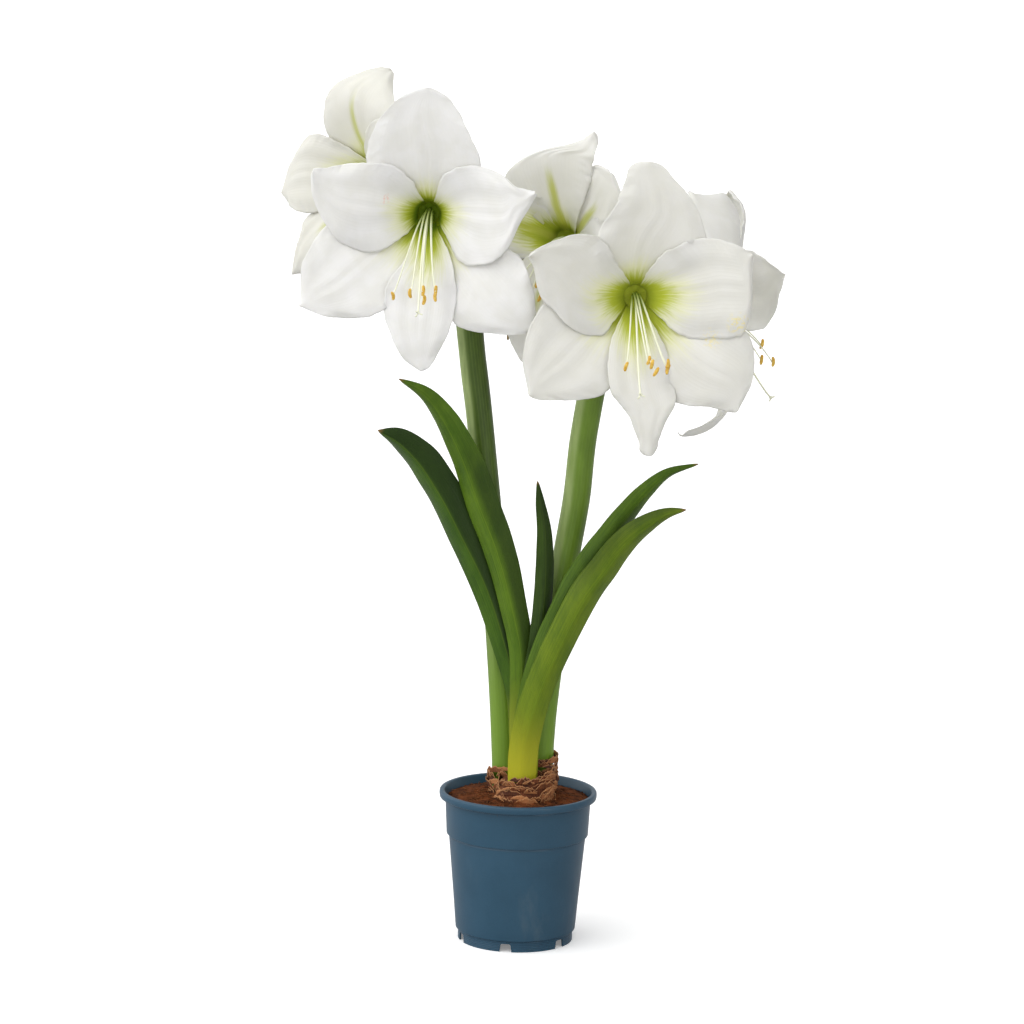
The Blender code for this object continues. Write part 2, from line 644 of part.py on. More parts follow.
def stamens(key, look):
    """Six filaments with anthers and the style, on one small button in the tube."""
    frame = bloom_frame(key)
    droop = np.array((1.0, BLOOMS[key][2], 1.0))
    low = 0.0016 + GAP
    button = along_axis(f"stamens_{key}", frame, ((low, 0.0034), (low + 0.003, 0.0030)), 8, look)
    more = []
    for count, end in enumerate(ANTHERS):
        angle = 2 * math.pi * (count + 0.5) / 6
        start = np.array((0.0022 * math.sin(angle), 0.0022 * math.cos(angle), low + 0.001))
        end = np.array(end) * droop
        corners = (
            start,
            (0.15 * end[0] + start[0], 0.003 + start[1], 0.054),
            (0.70 * end[0], 0.80 * end[1], 0.080),
            end,
        )
        path = bezier(corners, 4)
        lie = np.array((0.25, 0.80, 0.55))
        path = np.concatenate([path, end + np.outer((0.12, 0.55, 1.0), lie * ANTHER_LENGTH)])
        radii = [FILAMENT_RADIUS] * 4 + [ANTHER_RADIUS * part for part in (0.9, 1.0, 0.45)]
        more.append(swept("filament", in_place(path, frame), radii, 4, look))
    end = np.array(STYLE_END) * droop
    corners = ((0, 0, low + 0.001), (0, 0.003, 0.057), (0, 0.80 * end[1], 0.084), end)
    path = bezier(corners, 6)
    radii = np.array((1, 1, 1, 1, 1.1, 2.2)) * FILAMENT_RADIUS * 1.15
    more.append(swept("style", in_place(path, frame), radii, 4, look))
    return combine(button, more, "UNION")


def flower_stem(name, rows, keys, look):
    """A scape with the pedicels and ovaries of its blooms, joined."""
    obj = scape(name, rows, look)
    top = np.array(rows[-2][:3]) + np.array((0, 0, -0.002))
    more = []
    for key in keys:
        foot, _, _, out = bloom_frame(key)
        ovary_end = foot - out * GAP
        ovary_start = ovary_end - out * OVARY_LENGTH
        rise = np.array((0, 0, 1.0))
        reach = np.linalg.norm(ovary_start - top)
        path = bezier((top, top + rise * reach * 0.4, ovary_start - out * reach * 0.35, ovary_start), 6)
        ovary = [ovary_start + out * OVARY_LENGTH * part for part in (0.25, 0.65, 1.0)]
        path = np.concatenate([path, ovary])
        radii = [PEDICEL_RADIUS * 1.2] + [PEDICEL_RADIUS] * 5
        radii += [part * OVARY_RADIUS for part in (0.90, 1.0, 0.86)]
        more.append(swept("pedicel", path, radii, 8, look))
    return combine(obj, more, "UNION")


def spathe(name, rows, bearings, look):
    """A sleeve with two withered bracts that hang under the umbel, around the scape."""
    low, high = np.array(rows[-3][:3]), np.array(rows[-2][:3])
    out = (high - low) / np.linalg.norm(high - low)
    right = np.cross((0.0, 1.0, 0.0), out)
    right /= np.linalg.norm(right)
    frame = (low + (high - low) * 0.5, right, np.cross(out, right), out)
    radius = rows[-2][3]
    rings = ((0.0, radius + 0.0014), (0.0006, radius + 0.0022), (0.006, radius + 0.0018))
    sleeve = along_axis(name, frame, rings, STEM_STEPS, look)
    bracts = []
    for bearing, length in bearings:
        middle = []
        for part in np.linspace(0, 1, 7):
            reach = radius + 0.0015 + 0.019 * math.sin(1.9 * part)
            drop = 0.003 + 0.006 * part - length * part**2
            half = BRACT_WIDTH / 2 * (0.8 + 0.8 * part - 1.52 * part**2)
            angle = math.radians(bearing) + np.linspace(-1, 1, 4) * half / radius * (1 - 0.75 * part)
            middle.append(np.stack(
                [reach * np.sin(angle), reach * np.cos(angle), np.full(4, drop)], axis=-1
            ))
        bracts.append(sheet("bract", in_place(np.array(middle), frame), BRACT_THICKNESS, look))
    sleeve = combine(sleeve, bracts, "UNION")
    wider = [(x, y, z, r + 1.4 * GAP) for x, y, z, r in rows[:-1]]
    wider.append((*(high + 0.012 * out), rows[-2][3] + 1.4 * GAP))
    return combine(sleeve, [scape("core", wider, look)], "DIFFERENCE")


def main():
    clear_scene()
    plastic = material("pot_plastic", (0.058, 0.108, 0.158), 0.45)
    earth = material("soil", (0.060, 0.026, 0.012), 0.95)
    skin = material("bulb_skin", (0.200, 0.080, 0.030), 0.80)
    stalk = material("stem_green", (0.130, 0.240, 0.050), 0.45)
    blade = material("leaf_green", (0.080, 0.170, 0.022), 0.45)
    withered = material("bract_tan", (0.480, 0.360, 0.200), 0.80)
    white = material("petal_white", (0.860, 0.850, 0.820), 0.60)
    pollen = material("stamen_cream", (0.800, 0.700, 0.350), 0.60)

    pot(plastic)

    bulb = bulb_body(skin, 0.0)
    holes = [leaf(name, skin, GAP) for name in LEAVES]
    for rows in (STEM_LEFT, STEM_RIGHT):
        rows = np.asarray(rows)[:3].copy()
        rows[:, 3] += GAP
        rows[0, 2] -= GAP
        holes.append(swept("hole", rows[:, :3], rows[:, 3], STEM_STEPS, skin))
    combine(bulb, holes, "DIFFERENCE")
    sharpen(bulb)

    wall = POT_WALL + GAP + 0.0001
    rings = (
        (0.0014 + GAP, DISC_RADIUS - 0.0012 - 2 * GAP),
        (FLOOR_TOP + GAP, DISC_RADIUS - GAP),
        (FLOOR_TOP + GAP, BODY_LOW_RADIUS - wall),
        (BAND_BOTTOM - 0.0012, BODY_TOP_RADIUS - wall),
        (BAND_BOTTOM + 0.0014, BAND_LOW_RADIUS - wall),
        (SOIL_EDGE, BAND_TOP_RADIUS - wall - 0.0001),
        (SOIL_EDGE + 0.0018, 0.047),
        (SOIL_MIDDLE, 0.030),
    )
    soil = turned("soil", [(*ring, 0, 0) for ring in rings], POT_STEPS, earth)
    combine(soil, [bulb_body(earth, GAP)], "DIFFERENCE")
    sharpen(soil)

    for name in LEAVES:
        leaf(name, blade)
    flower_stem("scape_left", STEM_LEFT, ("a", "e"), stalk)
    flower_stem("scape_right", STEM_RIGHT, ("b", "c", "d"), stalk)
    spathe("spathe_left", STEM_LEFT, ((75, 0.052), (255, 0.044)), withered)
    spathe("spathe_right", STEM_RIGHT, ((110, 0.046), (290, 0.054)), withered)
    for key in BLOOMS:
        perianth(key, white)
        stamens(key, pollen)


main()
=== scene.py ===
import math

import bmesh
import bpy
import numpy as np
from mathutils import Matrix, Vector


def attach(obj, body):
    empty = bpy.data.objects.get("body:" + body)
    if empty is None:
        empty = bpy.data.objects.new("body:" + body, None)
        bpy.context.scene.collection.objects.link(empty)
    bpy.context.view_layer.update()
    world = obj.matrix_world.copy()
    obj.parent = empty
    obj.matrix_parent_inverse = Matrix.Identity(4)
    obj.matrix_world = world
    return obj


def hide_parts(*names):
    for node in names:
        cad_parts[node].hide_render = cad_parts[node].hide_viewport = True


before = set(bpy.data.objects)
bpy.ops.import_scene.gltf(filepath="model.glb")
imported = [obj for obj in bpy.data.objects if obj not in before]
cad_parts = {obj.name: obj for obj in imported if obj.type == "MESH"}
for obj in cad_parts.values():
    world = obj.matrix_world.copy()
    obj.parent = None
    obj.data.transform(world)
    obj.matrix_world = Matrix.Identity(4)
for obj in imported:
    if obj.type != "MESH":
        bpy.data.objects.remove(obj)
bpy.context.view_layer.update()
scene = bpy.context.scene
print("frame loaded:", len(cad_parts), "solids")


# Small helpers for points and meshes. Lengths are metres.
def smoothStep(value, low=0.0, high=1.0):
    part = np.clip((np.asarray(value, float) - low) / (high - low), 0, 1)
    return part * part * (3 - 2 * part)


def unit(vectors):
    vectors = np.asarray(vectors, float)
    return vectors / np.maximum(np.linalg.norm(vectors, axis=-1, keepdims=True), 1e-12)


def waves(seed, *coordinates, scale=1.0, count=5):
    # Smooth noise between about -1 and 1: a few sine waves in seeded directions.
    draw = np.random.default_rng(seed)
    total = 0.0
    for step in range(count):
        way = draw.normal(size=len(coordinates))
        way *= scale * (1 + 0.6 * step) / np.linalg.norm(way)
        phase = draw.uniform(0, 2 * math.pi)
        total = total + np.sin(sum(w * c for w, c in zip(way, coordinates)) + phase) / (1 + 0.5 * step)
    return total / 2.2


def turns(steps):
    return 2 * math.pi * np.arange(steps) / steps


def stacked(*values):
    # Spreads the values over one grid, whose last axis holds them.
    return np.stack(np.broadcast_arrays(*values), axis=-1)


def lengthAlong(points):
    return np.concatenate([[0], np.cumsum(np.linalg.norm(np.diff(points, axis=0), axis=1))])


def smoothCurve(rows, count):
    # Evenly spaced points of a smooth curve through rows of numbers, the first three a place.
    rows = np.asarray(rows, float)
    way = lengthAlong(rows[:, :3])
    slope = np.gradient(rows, way, axis=0)
    at = np.linspace(0, way[-1], count)
    i = np.clip(np.searchsorted(way, at, "right") - 1, 0, len(way) - 2)
    span = (way[i + 1] - way[i])[:, None]
    t = ((at - way[i]) / (way[i + 1] - way[i]))[:, None]
    return (
        (2 * t**3 - 3 * t**2 + 1) * rows[i]
        + (t**3 - 2 * t**2 + t) * span * slope[i]
        + (3 * t**2 - 2 * t**3) * rows[i + 1]
        + (t**3 - t**2) * span * slope[i + 1]
    )


def bezier(corners, count):
    a, b, c, d = (np.asarray(corner, float) for corner in corners)
    t = np.linspace(0, 1, count)[:, None]
    return (1 - t) ** 3 * a + 3 * (1 - t) ** 2 * t * b + 3 * (1 - t) * t**2 * c + t**3 * d


def ringFaces(rings, steps, caps=True):
    faces = []
    for ring in range(rings - 1):
        for step in range(steps):
            a, b = ring * steps + step, ring * steps + (step + 1) % steps
            faces.append((a, b, b + steps, a + steps))
    if caps:
        last = (rings - 1) * steps
        faces.append(tuple(reversed(range(steps))))
        faces.append(tuple(range(last, last + steps)))
    return faces


def lathe(profile, steps):
    # Turns (radius, height) rows round the z axis. The profile runs up the outer side.
    angle = turns(steps)
    radius, height = np.asarray(profile, float).T[:, :, None]
    return stacked(radius * np.cos(angle), radius * np.sin(angle), height)


def rod(path, radii, sides, lobes=0, lobeDepth=0.0):
    # A closed rod along a path, with its turn and length as uv. Lobes swell its section.
    path = np.asarray(path, float)
    along = unit(np.gradient(path, axis=0))
    side = np.cross(along[0], (0.0, 1.0, 0.0) if abs(along[0][1]) < 0.8 else (1.0, 0.0, 0.0))
    angle = turns(sides)
    rings = []
    for centre, way, radius in zip(path, along, np.broadcast_to(radii, len(path))):
        side = unit(side - way * side.dot(way))
        other = np.cross(way, side)
        reach = (radius * (1 + lobeDepth * np.cos(lobes * angle)))[:, None]
        rings.append(centre + reach * (np.cos(angle)[:, None] * side + np.sin(angle)[:, None] * other))
    uv = stacked(angle / (2 * math.pi), lengthAlong(path)[:, None])
    return np.reshape(rings, (-1, 3)), ringFaces(len(rings), sides), uv.reshape(-1, 2)


def blade(middle, thickness, uv):
    # A thin closed sheet round a grid of points, with a thickness for each point.
    rows, columns = middle.shape[:2]
    normal = unit(np.cross(np.gradient(middle, axis=0), np.gradient(middle, axis=1)))
    offset = normal * np.broadcast_to(thickness, (rows, columns))[:, :, None] / 2
    points = np.concatenate([(middle + offset).reshape(-1, 3), (middle - offset).reshape(-1, 3)])
    far = rows * columns
    faces = []
    for row in range(rows - 1):
        for column in range(columns - 1):
            a = row * columns + column
            front = (a, a + columns, a + columns + 1, a + 1)
            faces += [front, tuple(far + corner for corner in front[::-1])]
    index = np.arange(far).reshape(rows, columns)
    rim = np.concatenate([index[0, :-1], index[:-1, -1], index[-1, :0:-1], index[:0:-1, 0]]).tolist()
    for here, there in zip(rim, rim[1:] + rim[:1]):
        faces.append((here, there, far + there, far + here))
    flat = np.asarray(uv, float).reshape(-1, 2)
    return points, faces, np.concatenate([flat, flat])


def joined(parts):
    points, faces, uvs, start = [], [], [], 0
    for part in parts:
        points.append(part[0])
        faces += [tuple(start + corner for corner in face) for face in part[1]]
        uvs.append(part[2])
        start += len(part[0])
    return np.concatenate(points), faces, np.concatenate(uvs)


def meshObject(name, points, faces):
    mesh = bpy.data.meshes.new(name)
    mesh.from_pydata(np.asarray(points).tolist(), [], faces)
    return linked(name, mesh)


def linked(name, data):
    obj = bpy.data.objects.new(name, data)
    scene.collection.objects.link(obj)
    return obj


def baked(obj):
    # The object as its modifiers leave it, as a plain mesh.
    return bpy.data.meshes.new_from_object(obj.evaluated_get(bpy.context.evaluated_depsgraph_get()))


def turnOutwards(obj):
    edit = bmesh.new()
    edit.from_mesh(obj.data)
    bmesh.ops.recalc_face_normals(edit, faces=edit.faces)
    if edit.calc_volume(signed=True) < 0:
        bmesh.ops.reverse_faces(edit, faces=edit.faces)
    edit.to_mesh(obj.data)
    edit.free()


def makePiece(name, part, material):
    points, faces, uv = part
    obj = meshObject(name, points, faces)
    mesh = obj.data
    mesh.shade_smooth()
    corner = np.empty(len(mesh.loops), np.int32)
    mesh.loops.foreach_get("vertex_index", corner)
    layer = mesh.uv_layers.new(name="surface")
    layer.data.foreach_set("uv", np.asarray(uv, np.float32)[corner].ravel())
    mesh.materials.append(material)
    return obj


def addAttribute(obj, name, values):
    layer = obj.data.attributes.new(name, "FLOAT", "POINT")
    layer.data.foreach_set("value", np.asarray(values, np.float32).ravel())


def settle(obj, slot, *nodes):
    # Every piece rides on the one body and stands for the plain solids that it covers.
    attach(obj, "root")
    if nodes:
        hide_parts(*nodes)


# Helpers for node trees.
def node(tree, kind, inputs=None, **settings):
    made = tree.nodes.new(kind)
    for key, value in settings.items():
        setattr(made, key, value)
    for key, value in (inputs or {}).items():
        socket = made.inputs[key]
        if isinstance(value, bpy.types.NodeSocket):
            tree.links.new(value, socket)
        else:
            socket.default_value = value
    return made


def axes(tree, vector):
    return node(tree, "ShaderNodeSeparateXYZ", {0: vector}).outputs


def mark(tree, name):
    # A value that the mesh carries for each of its points.
    return node(tree, "ShaderNodeAttribute", attribute_name=name).outputs["Fac"]


def calc(tree, operation, *values):
    return node(tree, "ShaderNodeMath", dict(enumerate(values)), operation=operation).outputs[0]


def times(tree, a, b):
    return calc(tree, "MULTIPLY", a, b)


def plus(tree, a, b):
    return calc(tree, "ADD", a, b)


def fade(tree, value, low, high, toLow=0.0, toHigh=1.0):
    # Passes smoothly from toLow at low to toHigh at high.
    made = node(tree, "ShaderNodeMapRange", {
        "Value": value, "From Min": low, "From Max": high, "To Min": toLow, "To Max": toHigh,
    }, interpolation_type="SMOOTHSTEP")
    return made.outputs[0]


def blendColour(tree, factor, a, b):
    made = node(tree, "ShaderNodeMix", {0: factor, 6: a, 7: b}, data_type="RGBA", blend_type="MIX")
    return made.outputs[2]


def layered(tree, base, *layers):
    # Lays colours over a base one by one. Each layer is a factor and a colour.
    for factor, tint in layers:
        base = blendColour(tree, factor, base, colour(*tint))
    return base


def noise(tree, vector, scale, detail=4.0, roughness=0.55):
    made = node(tree, "ShaderNodeTexNoise", {
        "Vector": vector, "Scale": scale, "Detail": detail, "Roughness": roughness,
    })
    return made.outputs[0]


def stretched(tree, vector, *scale):
    return node(tree, "ShaderNodeMapping", {"Vector": vector, "Scale": scale}).outputs[0]


def colour(red, green, blue):
    # Colours are given as they look on a screen, 0 to 255, and used as linear light.
    def linear(value):
        value /= 255
        return value / 12.92 if value <= 0.04045 else ((value + 0.055) / 1.055) ** 2.4
    return (linear(red), linear(green), linear(blue), 1.0)


def newGroup(name, treeKind, inputs, outputs):
    # Each input is a label, a kind of socket and a usual value, and each output a label and a kind.
    group = bpy.data.node_groups.new(name, treeKind)
    for label, kind, value in inputs:
        socket = group.interface.new_socket(label, in_out="INPUT", socket_type="NodeSocket" + kind)
        if value is not None:
            socket.default_value = value
    for label, kind in outputs:
        group.interface.new_socket(label, in_out="OUTPUT", socket_type="NodeSocket" + kind)
    start, end = group.nodes.new("NodeGroupInput"), group.nodes.new("NodeGroupOutput")
    return group, start.outputs, end.inputs


def useGroup(tree, group, *values):
    # The group's outputs. Its values stand in the order of its inputs.
    return node(tree, "ShaderNodeGroup", dict(enumerate(values)), node_tree=group).outputs


def makeVeins():
    # Fine lines that run along a blade. Their count is across the whole width.
    tree, given, out = newGroup("veins", "ShaderNodeTree", (
        ("Surface", "Vector", None), ("Count", "Float", 24.0),
        ("Wander", "Float", 0.6), ("Along Scale", "Float", 8.0),
    ), (("Lines", "Float"), ("Streaks", "Float")))
    across, along = axes(tree, given["Surface"])[:2]
    drift = noise(tree, stretched(tree, given["Surface"], 3.0, 9.0, 1.0), 1.0, 3.0)
    drift = times(tree, calc(tree, "SUBTRACT", drift, 0.5), given["Wander"])
    wave = plus(tree, times(tree, across, given["Count"]), drift)
    wave = calc(tree, "SINE", times(tree, wave, 2 * math.pi))
    lines = calc(tree, "POWER", calc(tree, "MULTIPLY_ADD", wave, 0.5, 0.5), 3.0)
    place = node(tree, "ShaderNodeCombineXYZ", {
        0: times(tree, across, given["Count"]), 1: times(tree, along, given["Along Scale"]),
    })
    tree.links.new(lines, out["Lines"])
    tree.links.new(noise(tree, place.outputs[0], 1.3, 5.0, 0.6), out["Streaks"])
    return tree


def makeMottle():
    # Uneven colour in two sizes of patch, and a height for bumps.
    tree, given, out = newGroup("mottle", "ShaderNodeTree", (
        ("Place", "Vector", None), ("Patch Scale", "Float", 20.0), ("Grain Scale", "Float", 400.0),
        ("Dark", "Color", (0.1, 0.1, 0.1, 1)), ("Light", "Color", (0.5, 0.5, 0.5, 1)),
    ), (("Colour", "Color"), ("Height", "Float")))
    patch = noise(tree, given["Place"], given["Patch Scale"], 4.0, 0.6)
    grain = noise(tree, given["Place"], given["Grain Scale"], 3.0, 0.6)
    factor = fade(tree, plus(tree, times(tree, patch, 0.65), times(tree, grain, 0.35)), 0.34, 0.66)
    tree.links.new(blendColour(tree, factor, given["Dark"], given["Light"]), out["Colour"])
    tree.links.new(grain, out["Height"])
    return tree


veins = makeVeins()
mottle = makeMottle()


def veined(tree, surface, count, wander, along):
    return useGroup(tree, veins, surface, count, wander, along)


def mottled(tree, place, patch, grain, dark, light):
    return useGroup(tree, mottle, place, patch, grain, colour(*dark), colour(*light))


def newMaterial(name, **values):
    # The material, its tree, the piece's own surface map and the place on the object.
    material = bpy.data.materials.new(name)
    material.use_nodes = True
    tree = material.node_tree
    for key, value in values.items():
        tree.nodes["Principled BSDF"].inputs[key.replace("_", " ")].default_value = value
    surface = node(tree, "ShaderNodeUVMap", uv_map="surface").outputs[0]
    return material, tree, surface, node(tree, "ShaderNodeTexCoord").outputs["Object"]


def dress(tree, base, roughness=None, height=None, strength=0.0, distance=0.0):
    # Links the colour, and where there are any the roughness and the bumps, to the shader.
    shader = tree.nodes["Principled BSDF"]
    tree.links.new(base, shader.inputs["Base Color"])
    if roughness is not None:
        tree.links.new(roughness, shader.inputs["Roughness"])
    if height is not None:
        made = node(tree, "ShaderNodeBump", {
            "Height": height, "Strength": strength, "Distance": distance,
        })
        tree.links.new(made.outputs[0], shader.inputs["Normal"])


print("helpers and node groups ready")

# Pot: a satin blue growing pot with a rolled lip, a wider band, a ribbed foot and drain holes.
potSizes = {
    "height": 0.116, "wall": 0.0013, "steps": 168,
    "lipBottom": 0.1102, "bandBottom": 0.082, "footHeight": 0.0082,
    "floorUnder": 0.0066, "floorTop": 0.008, "discRadius": 0.014,
    "rimRadius": 0.06, "rimInner": 0.0563, "bandTop": 0.0553, "bandLow": 0.054,
    "bodyTop": 0.0521, "bodyLow": 0.0457, "footRadius": 0.0438,
    "notches": 6, "notchTurn": -9.5, "notchHeight": 0.0063, "notchTop": 0.0078, "notchLow": 0.0095,
    "notchRound": 0.0012, "cutIn": 0.005, "cutOut": 0.004, "cutPast": 0.002, "sharpFrom": 32,
    "drainRadius": 0.0045, "drainCircle": 0.031, "ribs": 5, "ribDepth": 0.00035,
    # Colours are red, green and blue as on a screen, often a darker and a lighter one
    "blue": ((38, 70, 90), (43, 76, 97)), "dust": (122, 128, 126),
}


def rounded(corners, arc=5):
    # Rounds the corners of an outline. Each corner is its radius, height and rounding.
    points = [np.array(corners[0][:2])]
    for before, here, after in zip(corners, corners[1:], corners[2:]):
        at = np.array(here[:2])
        a, b = np.array(before[:2]) - at, np.array(after[:2]) - at
        reach = min(here[2], 0.45 * np.linalg.norm(a), 0.45 * np.linalg.norm(b))
        if reach < 1e-6:
            points.append(at)
            continue
        start, end = at + unit(a) * reach, at + unit(b) * reach
        for t in np.linspace(0, 1, arc):
            points.append((1 - t) ** 2 * start + 2 * t * (1 - t) * at + t * t * end)
    points.append(np.array(corners[-1][:2]))
    return np.array(points)


def potProfile(sizes):
    # The small numbers set a corner off the size that it belongs to, and the last one rounds it.
    wall, foot, low = sizes["wall"], sizes["footRadius"], sizes["footHeight"]
    corners = [
        (sizes["discRadius"], 0.0, 0),
        (sizes["discRadius"] + 0.0015, sizes["floorUnder"], 0.0006),
        (foot - wall, sizes["floorUnder"], 0.0006),
        (foot - wall, 0.0, 0.0002),
        (foot, 0.0, 0.0004),
    ]
    ribStep = (low - 0.0016) / sizes["ribs"]
    for rib in range(sizes["ribs"]):
        start = 0.001 + rib * ribStep
        corners += [
            (foot, start, 0.0001),
            (foot - sizes["ribDepth"], start + 0.25 * ribStep, 0.0001),
            (foot, start + 0.5 * ribStep, 0.0001),
        ]
    corners += [
        (foot, low - 0.0004, 0.0002),
        (foot - 0.0006, low, 0.0002),
        (sizes["bodyLow"], low + 0.0006, 0.0005),
        (sizes["bodyLow"] + 0.0016, 0.028, 0),
        (sizes["bodyTop"], sizes["bandBottom"] - 0.0016, 0.0003),
        (sizes["bodyTop"] - 0.0005, sizes["bandBottom"], 0.0002),
        (sizes["bandLow"], sizes["bandBottom"] + 0.0003, 0.0005),
        (sizes["bandTop"], sizes["lipBottom"] - 0.0016, 0.0003),
        (sizes["bandTop"] - 0.0005, sizes["lipBottom"], 0.0002),
        (sizes["rimRadius"] - 0.0004, sizes["lipBottom"] + 0.0002, 0.0009),
        (sizes["rimRadius"], sizes["height"] - 0.003, 0.0005),
        (sizes["rimRadius"] - 0.0002, sizes["height"], 0.0016),
        (sizes["rimInner"], sizes["height"], 0.0012),
        (sizes["bandTop"] - wall, sizes["lipBottom"] - 0.0012, 0.0012),
        (sizes["bandLow"] - wall, sizes["bandBottom"] + 0.001, 0.0004),
        (sizes["bodyTop"] - wall, sizes["bandBottom"] - 0.0016, 0.0004),
        (sizes["bodyLow"] - wall, sizes["floorTop"], 0.0012),
        (sizes["discRadius"] + 0.0004, sizes["floorTop"], 0.0006),
        (sizes["discRadius"] - 0.0012, 0.0014, 0),
    ]
    return rounded(corners)


def cutAway(obj, cutters):
    group = bpy.data.collections.new("cutters")
    scene.collection.children.link(group)
    for cutter in cutters:
        group.objects.link(cutter)
    boolean = obj.modifiers.new("Cut", "BOOLEAN")
    boolean.operand_type, boolean.collection, boolean.solver = "COLLECTION", group, "MANIFOLD"
    mesh = baked(obj)
    obj.modifiers.clear()
    obj.data = mesh
    for cutter in cutters:
        bpy.data.objects.remove(cutter)
    bpy.data.collections.remove(group)


def potPlastic():
    material, tree, _, place = newMaterial("satinBluePlastic", IOR=1.47, Specular_IOR_Level=0.35)
    tone = mottled(tree, place, 26.0, 900.0, *potSizes["blue"])
    dust = noise(tree, stretched(tree, place, 1.0, 1.0, 0.35), 60.0, 6.0, 0.65)
    near = fade(tree, axes(tree, place)[2], 0.1, 0.0, 0.02, 0.16)
    dust = times(tree, fade(tree, dust, 0.52, 0.8), near)
    base = layered(tree, tone["Colour"], (dust, potSizes["dust"]))
    smear = noise(tree, stretched(tree, place, 1.0, 1.0, 0.25), 45.0, 4.0, 0.6)
    dress(tree, base, fade(tree, smear, 0.25, 0.75, 0.3, 0.4), tone["Height"], 0.1, 0.0002)
    return material


def notchOutline(sizes):
    # Half widths and heights of the notch's arch, from its left foot round to the left shoulder.
    half, low = sizes["notchTop"] / 2, sizes["notchLow"] / 2
    top, turn = sizes["notchHeight"], sizes["notchRound"]
    right = [(low, -0.001), (half, top - turn), (half - 0.3 * turn, top - 0.3 * turn), (half - turn, top)]
    left = [(-x, z) for x, z in right]
    return left[:1] + right + left[:0:-1]


def makePot(sizes, material):
    steps, foot = sizes["steps"], sizes["footRadius"]
    rings = lathe(potProfile(sizes), steps)
    pot = meshObject("pot_shell", rings.reshape(-1, 3), ringFaces(len(rings), steps))
    drain = [(sizes["drainRadius"], sizes["floorUnder"] - sizes["cutPast"]),
             (sizes["drainRadius"], sizes["floorTop"] + sizes["cutPast"])]
    cutters = []
    for turn in math.radians(sizes["notchTurn"]) + turns(sizes["notches"]):
        out = np.array((math.sin(turn), -math.cos(turn), 0))
        side = np.array((math.cos(turn), math.sin(turn), 0))
        notch = [out * reach + side * x + np.array((0, 0, z))
                 for reach in (foot - sizes["cutIn"], foot + sizes["cutOut"])
                 for x, z in notchOutline(sizes)]
        cutters.append(meshObject("notchCutter", notch, ringFaces(2, 8)))
        hole = lathe(drain, 32).reshape(-1, 3) + out * sizes["drainCircle"]
        cutters.append(meshObject("drainCutter", hole, ringFaces(2, 32)))
    for obj in [pot] + cutters:
        turnOutwards(obj)
    cutAway(pot, cutters)
    mesh = pot.data
    mesh.name = pot.name
    mesh.materials.clear()
    mesh.materials.append(material)
    mesh.shade_smooth()
    mesh.set_sharp_from_angle(angle=math.radians(sizes["sharpFrom"]))
    settle(pot, "pot_plastic", "pot")


makePot(potSizes, potPlastic())
print("pot made")


# Soil: a crumbly top with loose grains and root fibres.
soilSizes = {
    "edge": 0.1095, "middle": 0.1128, "radius": 0.0538, "base": 0.1045, "steps": 150, "rings": 34,
    "bulbEdge": 0.028, "lump": 0.0011, "fineLump": 0.0006, "crumbsFrom": 0.02,
    "firstRings": (0.004, 0.012), "seed": 7,
    "earth": ((36, 17, 8), (116, 64, 33)), "coir": ((84, 46, 24), (150, 100, 62)),
    "crumbs": 320000.0, "crumbSize": 0.0011, "fibres": 42000.0, "fibreLength": 0.0075,
}


def soilHeight(sizes, x, y):
    reach, edge, radius = np.hypot(x, y), sizes["edge"], sizes["radius"]
    height = edge + (sizes["middle"] - edge) * smoothStep(reach, radius, sizes["bulbEdge"])
    lumps = sizes["lump"] * waves(3, x, y, scale=420.0) + sizes["fineLump"] * waves(4, x, y, scale=1100.0)
    return height + lumps * smoothStep(reach, radius * 1.01, radius * 0.93)


def soilEarth():
    material, tree, _, place = newMaterial("soilEarth", Roughness=0.95, Specular_IOR_Level=0.1)
    tone = mottled(tree, place, 120.0, 1100.0, *soilSizes["earth"])
    dress(tree, tone["Colour"], None, tone["Height"], 0.7, 0.0008)
    return material


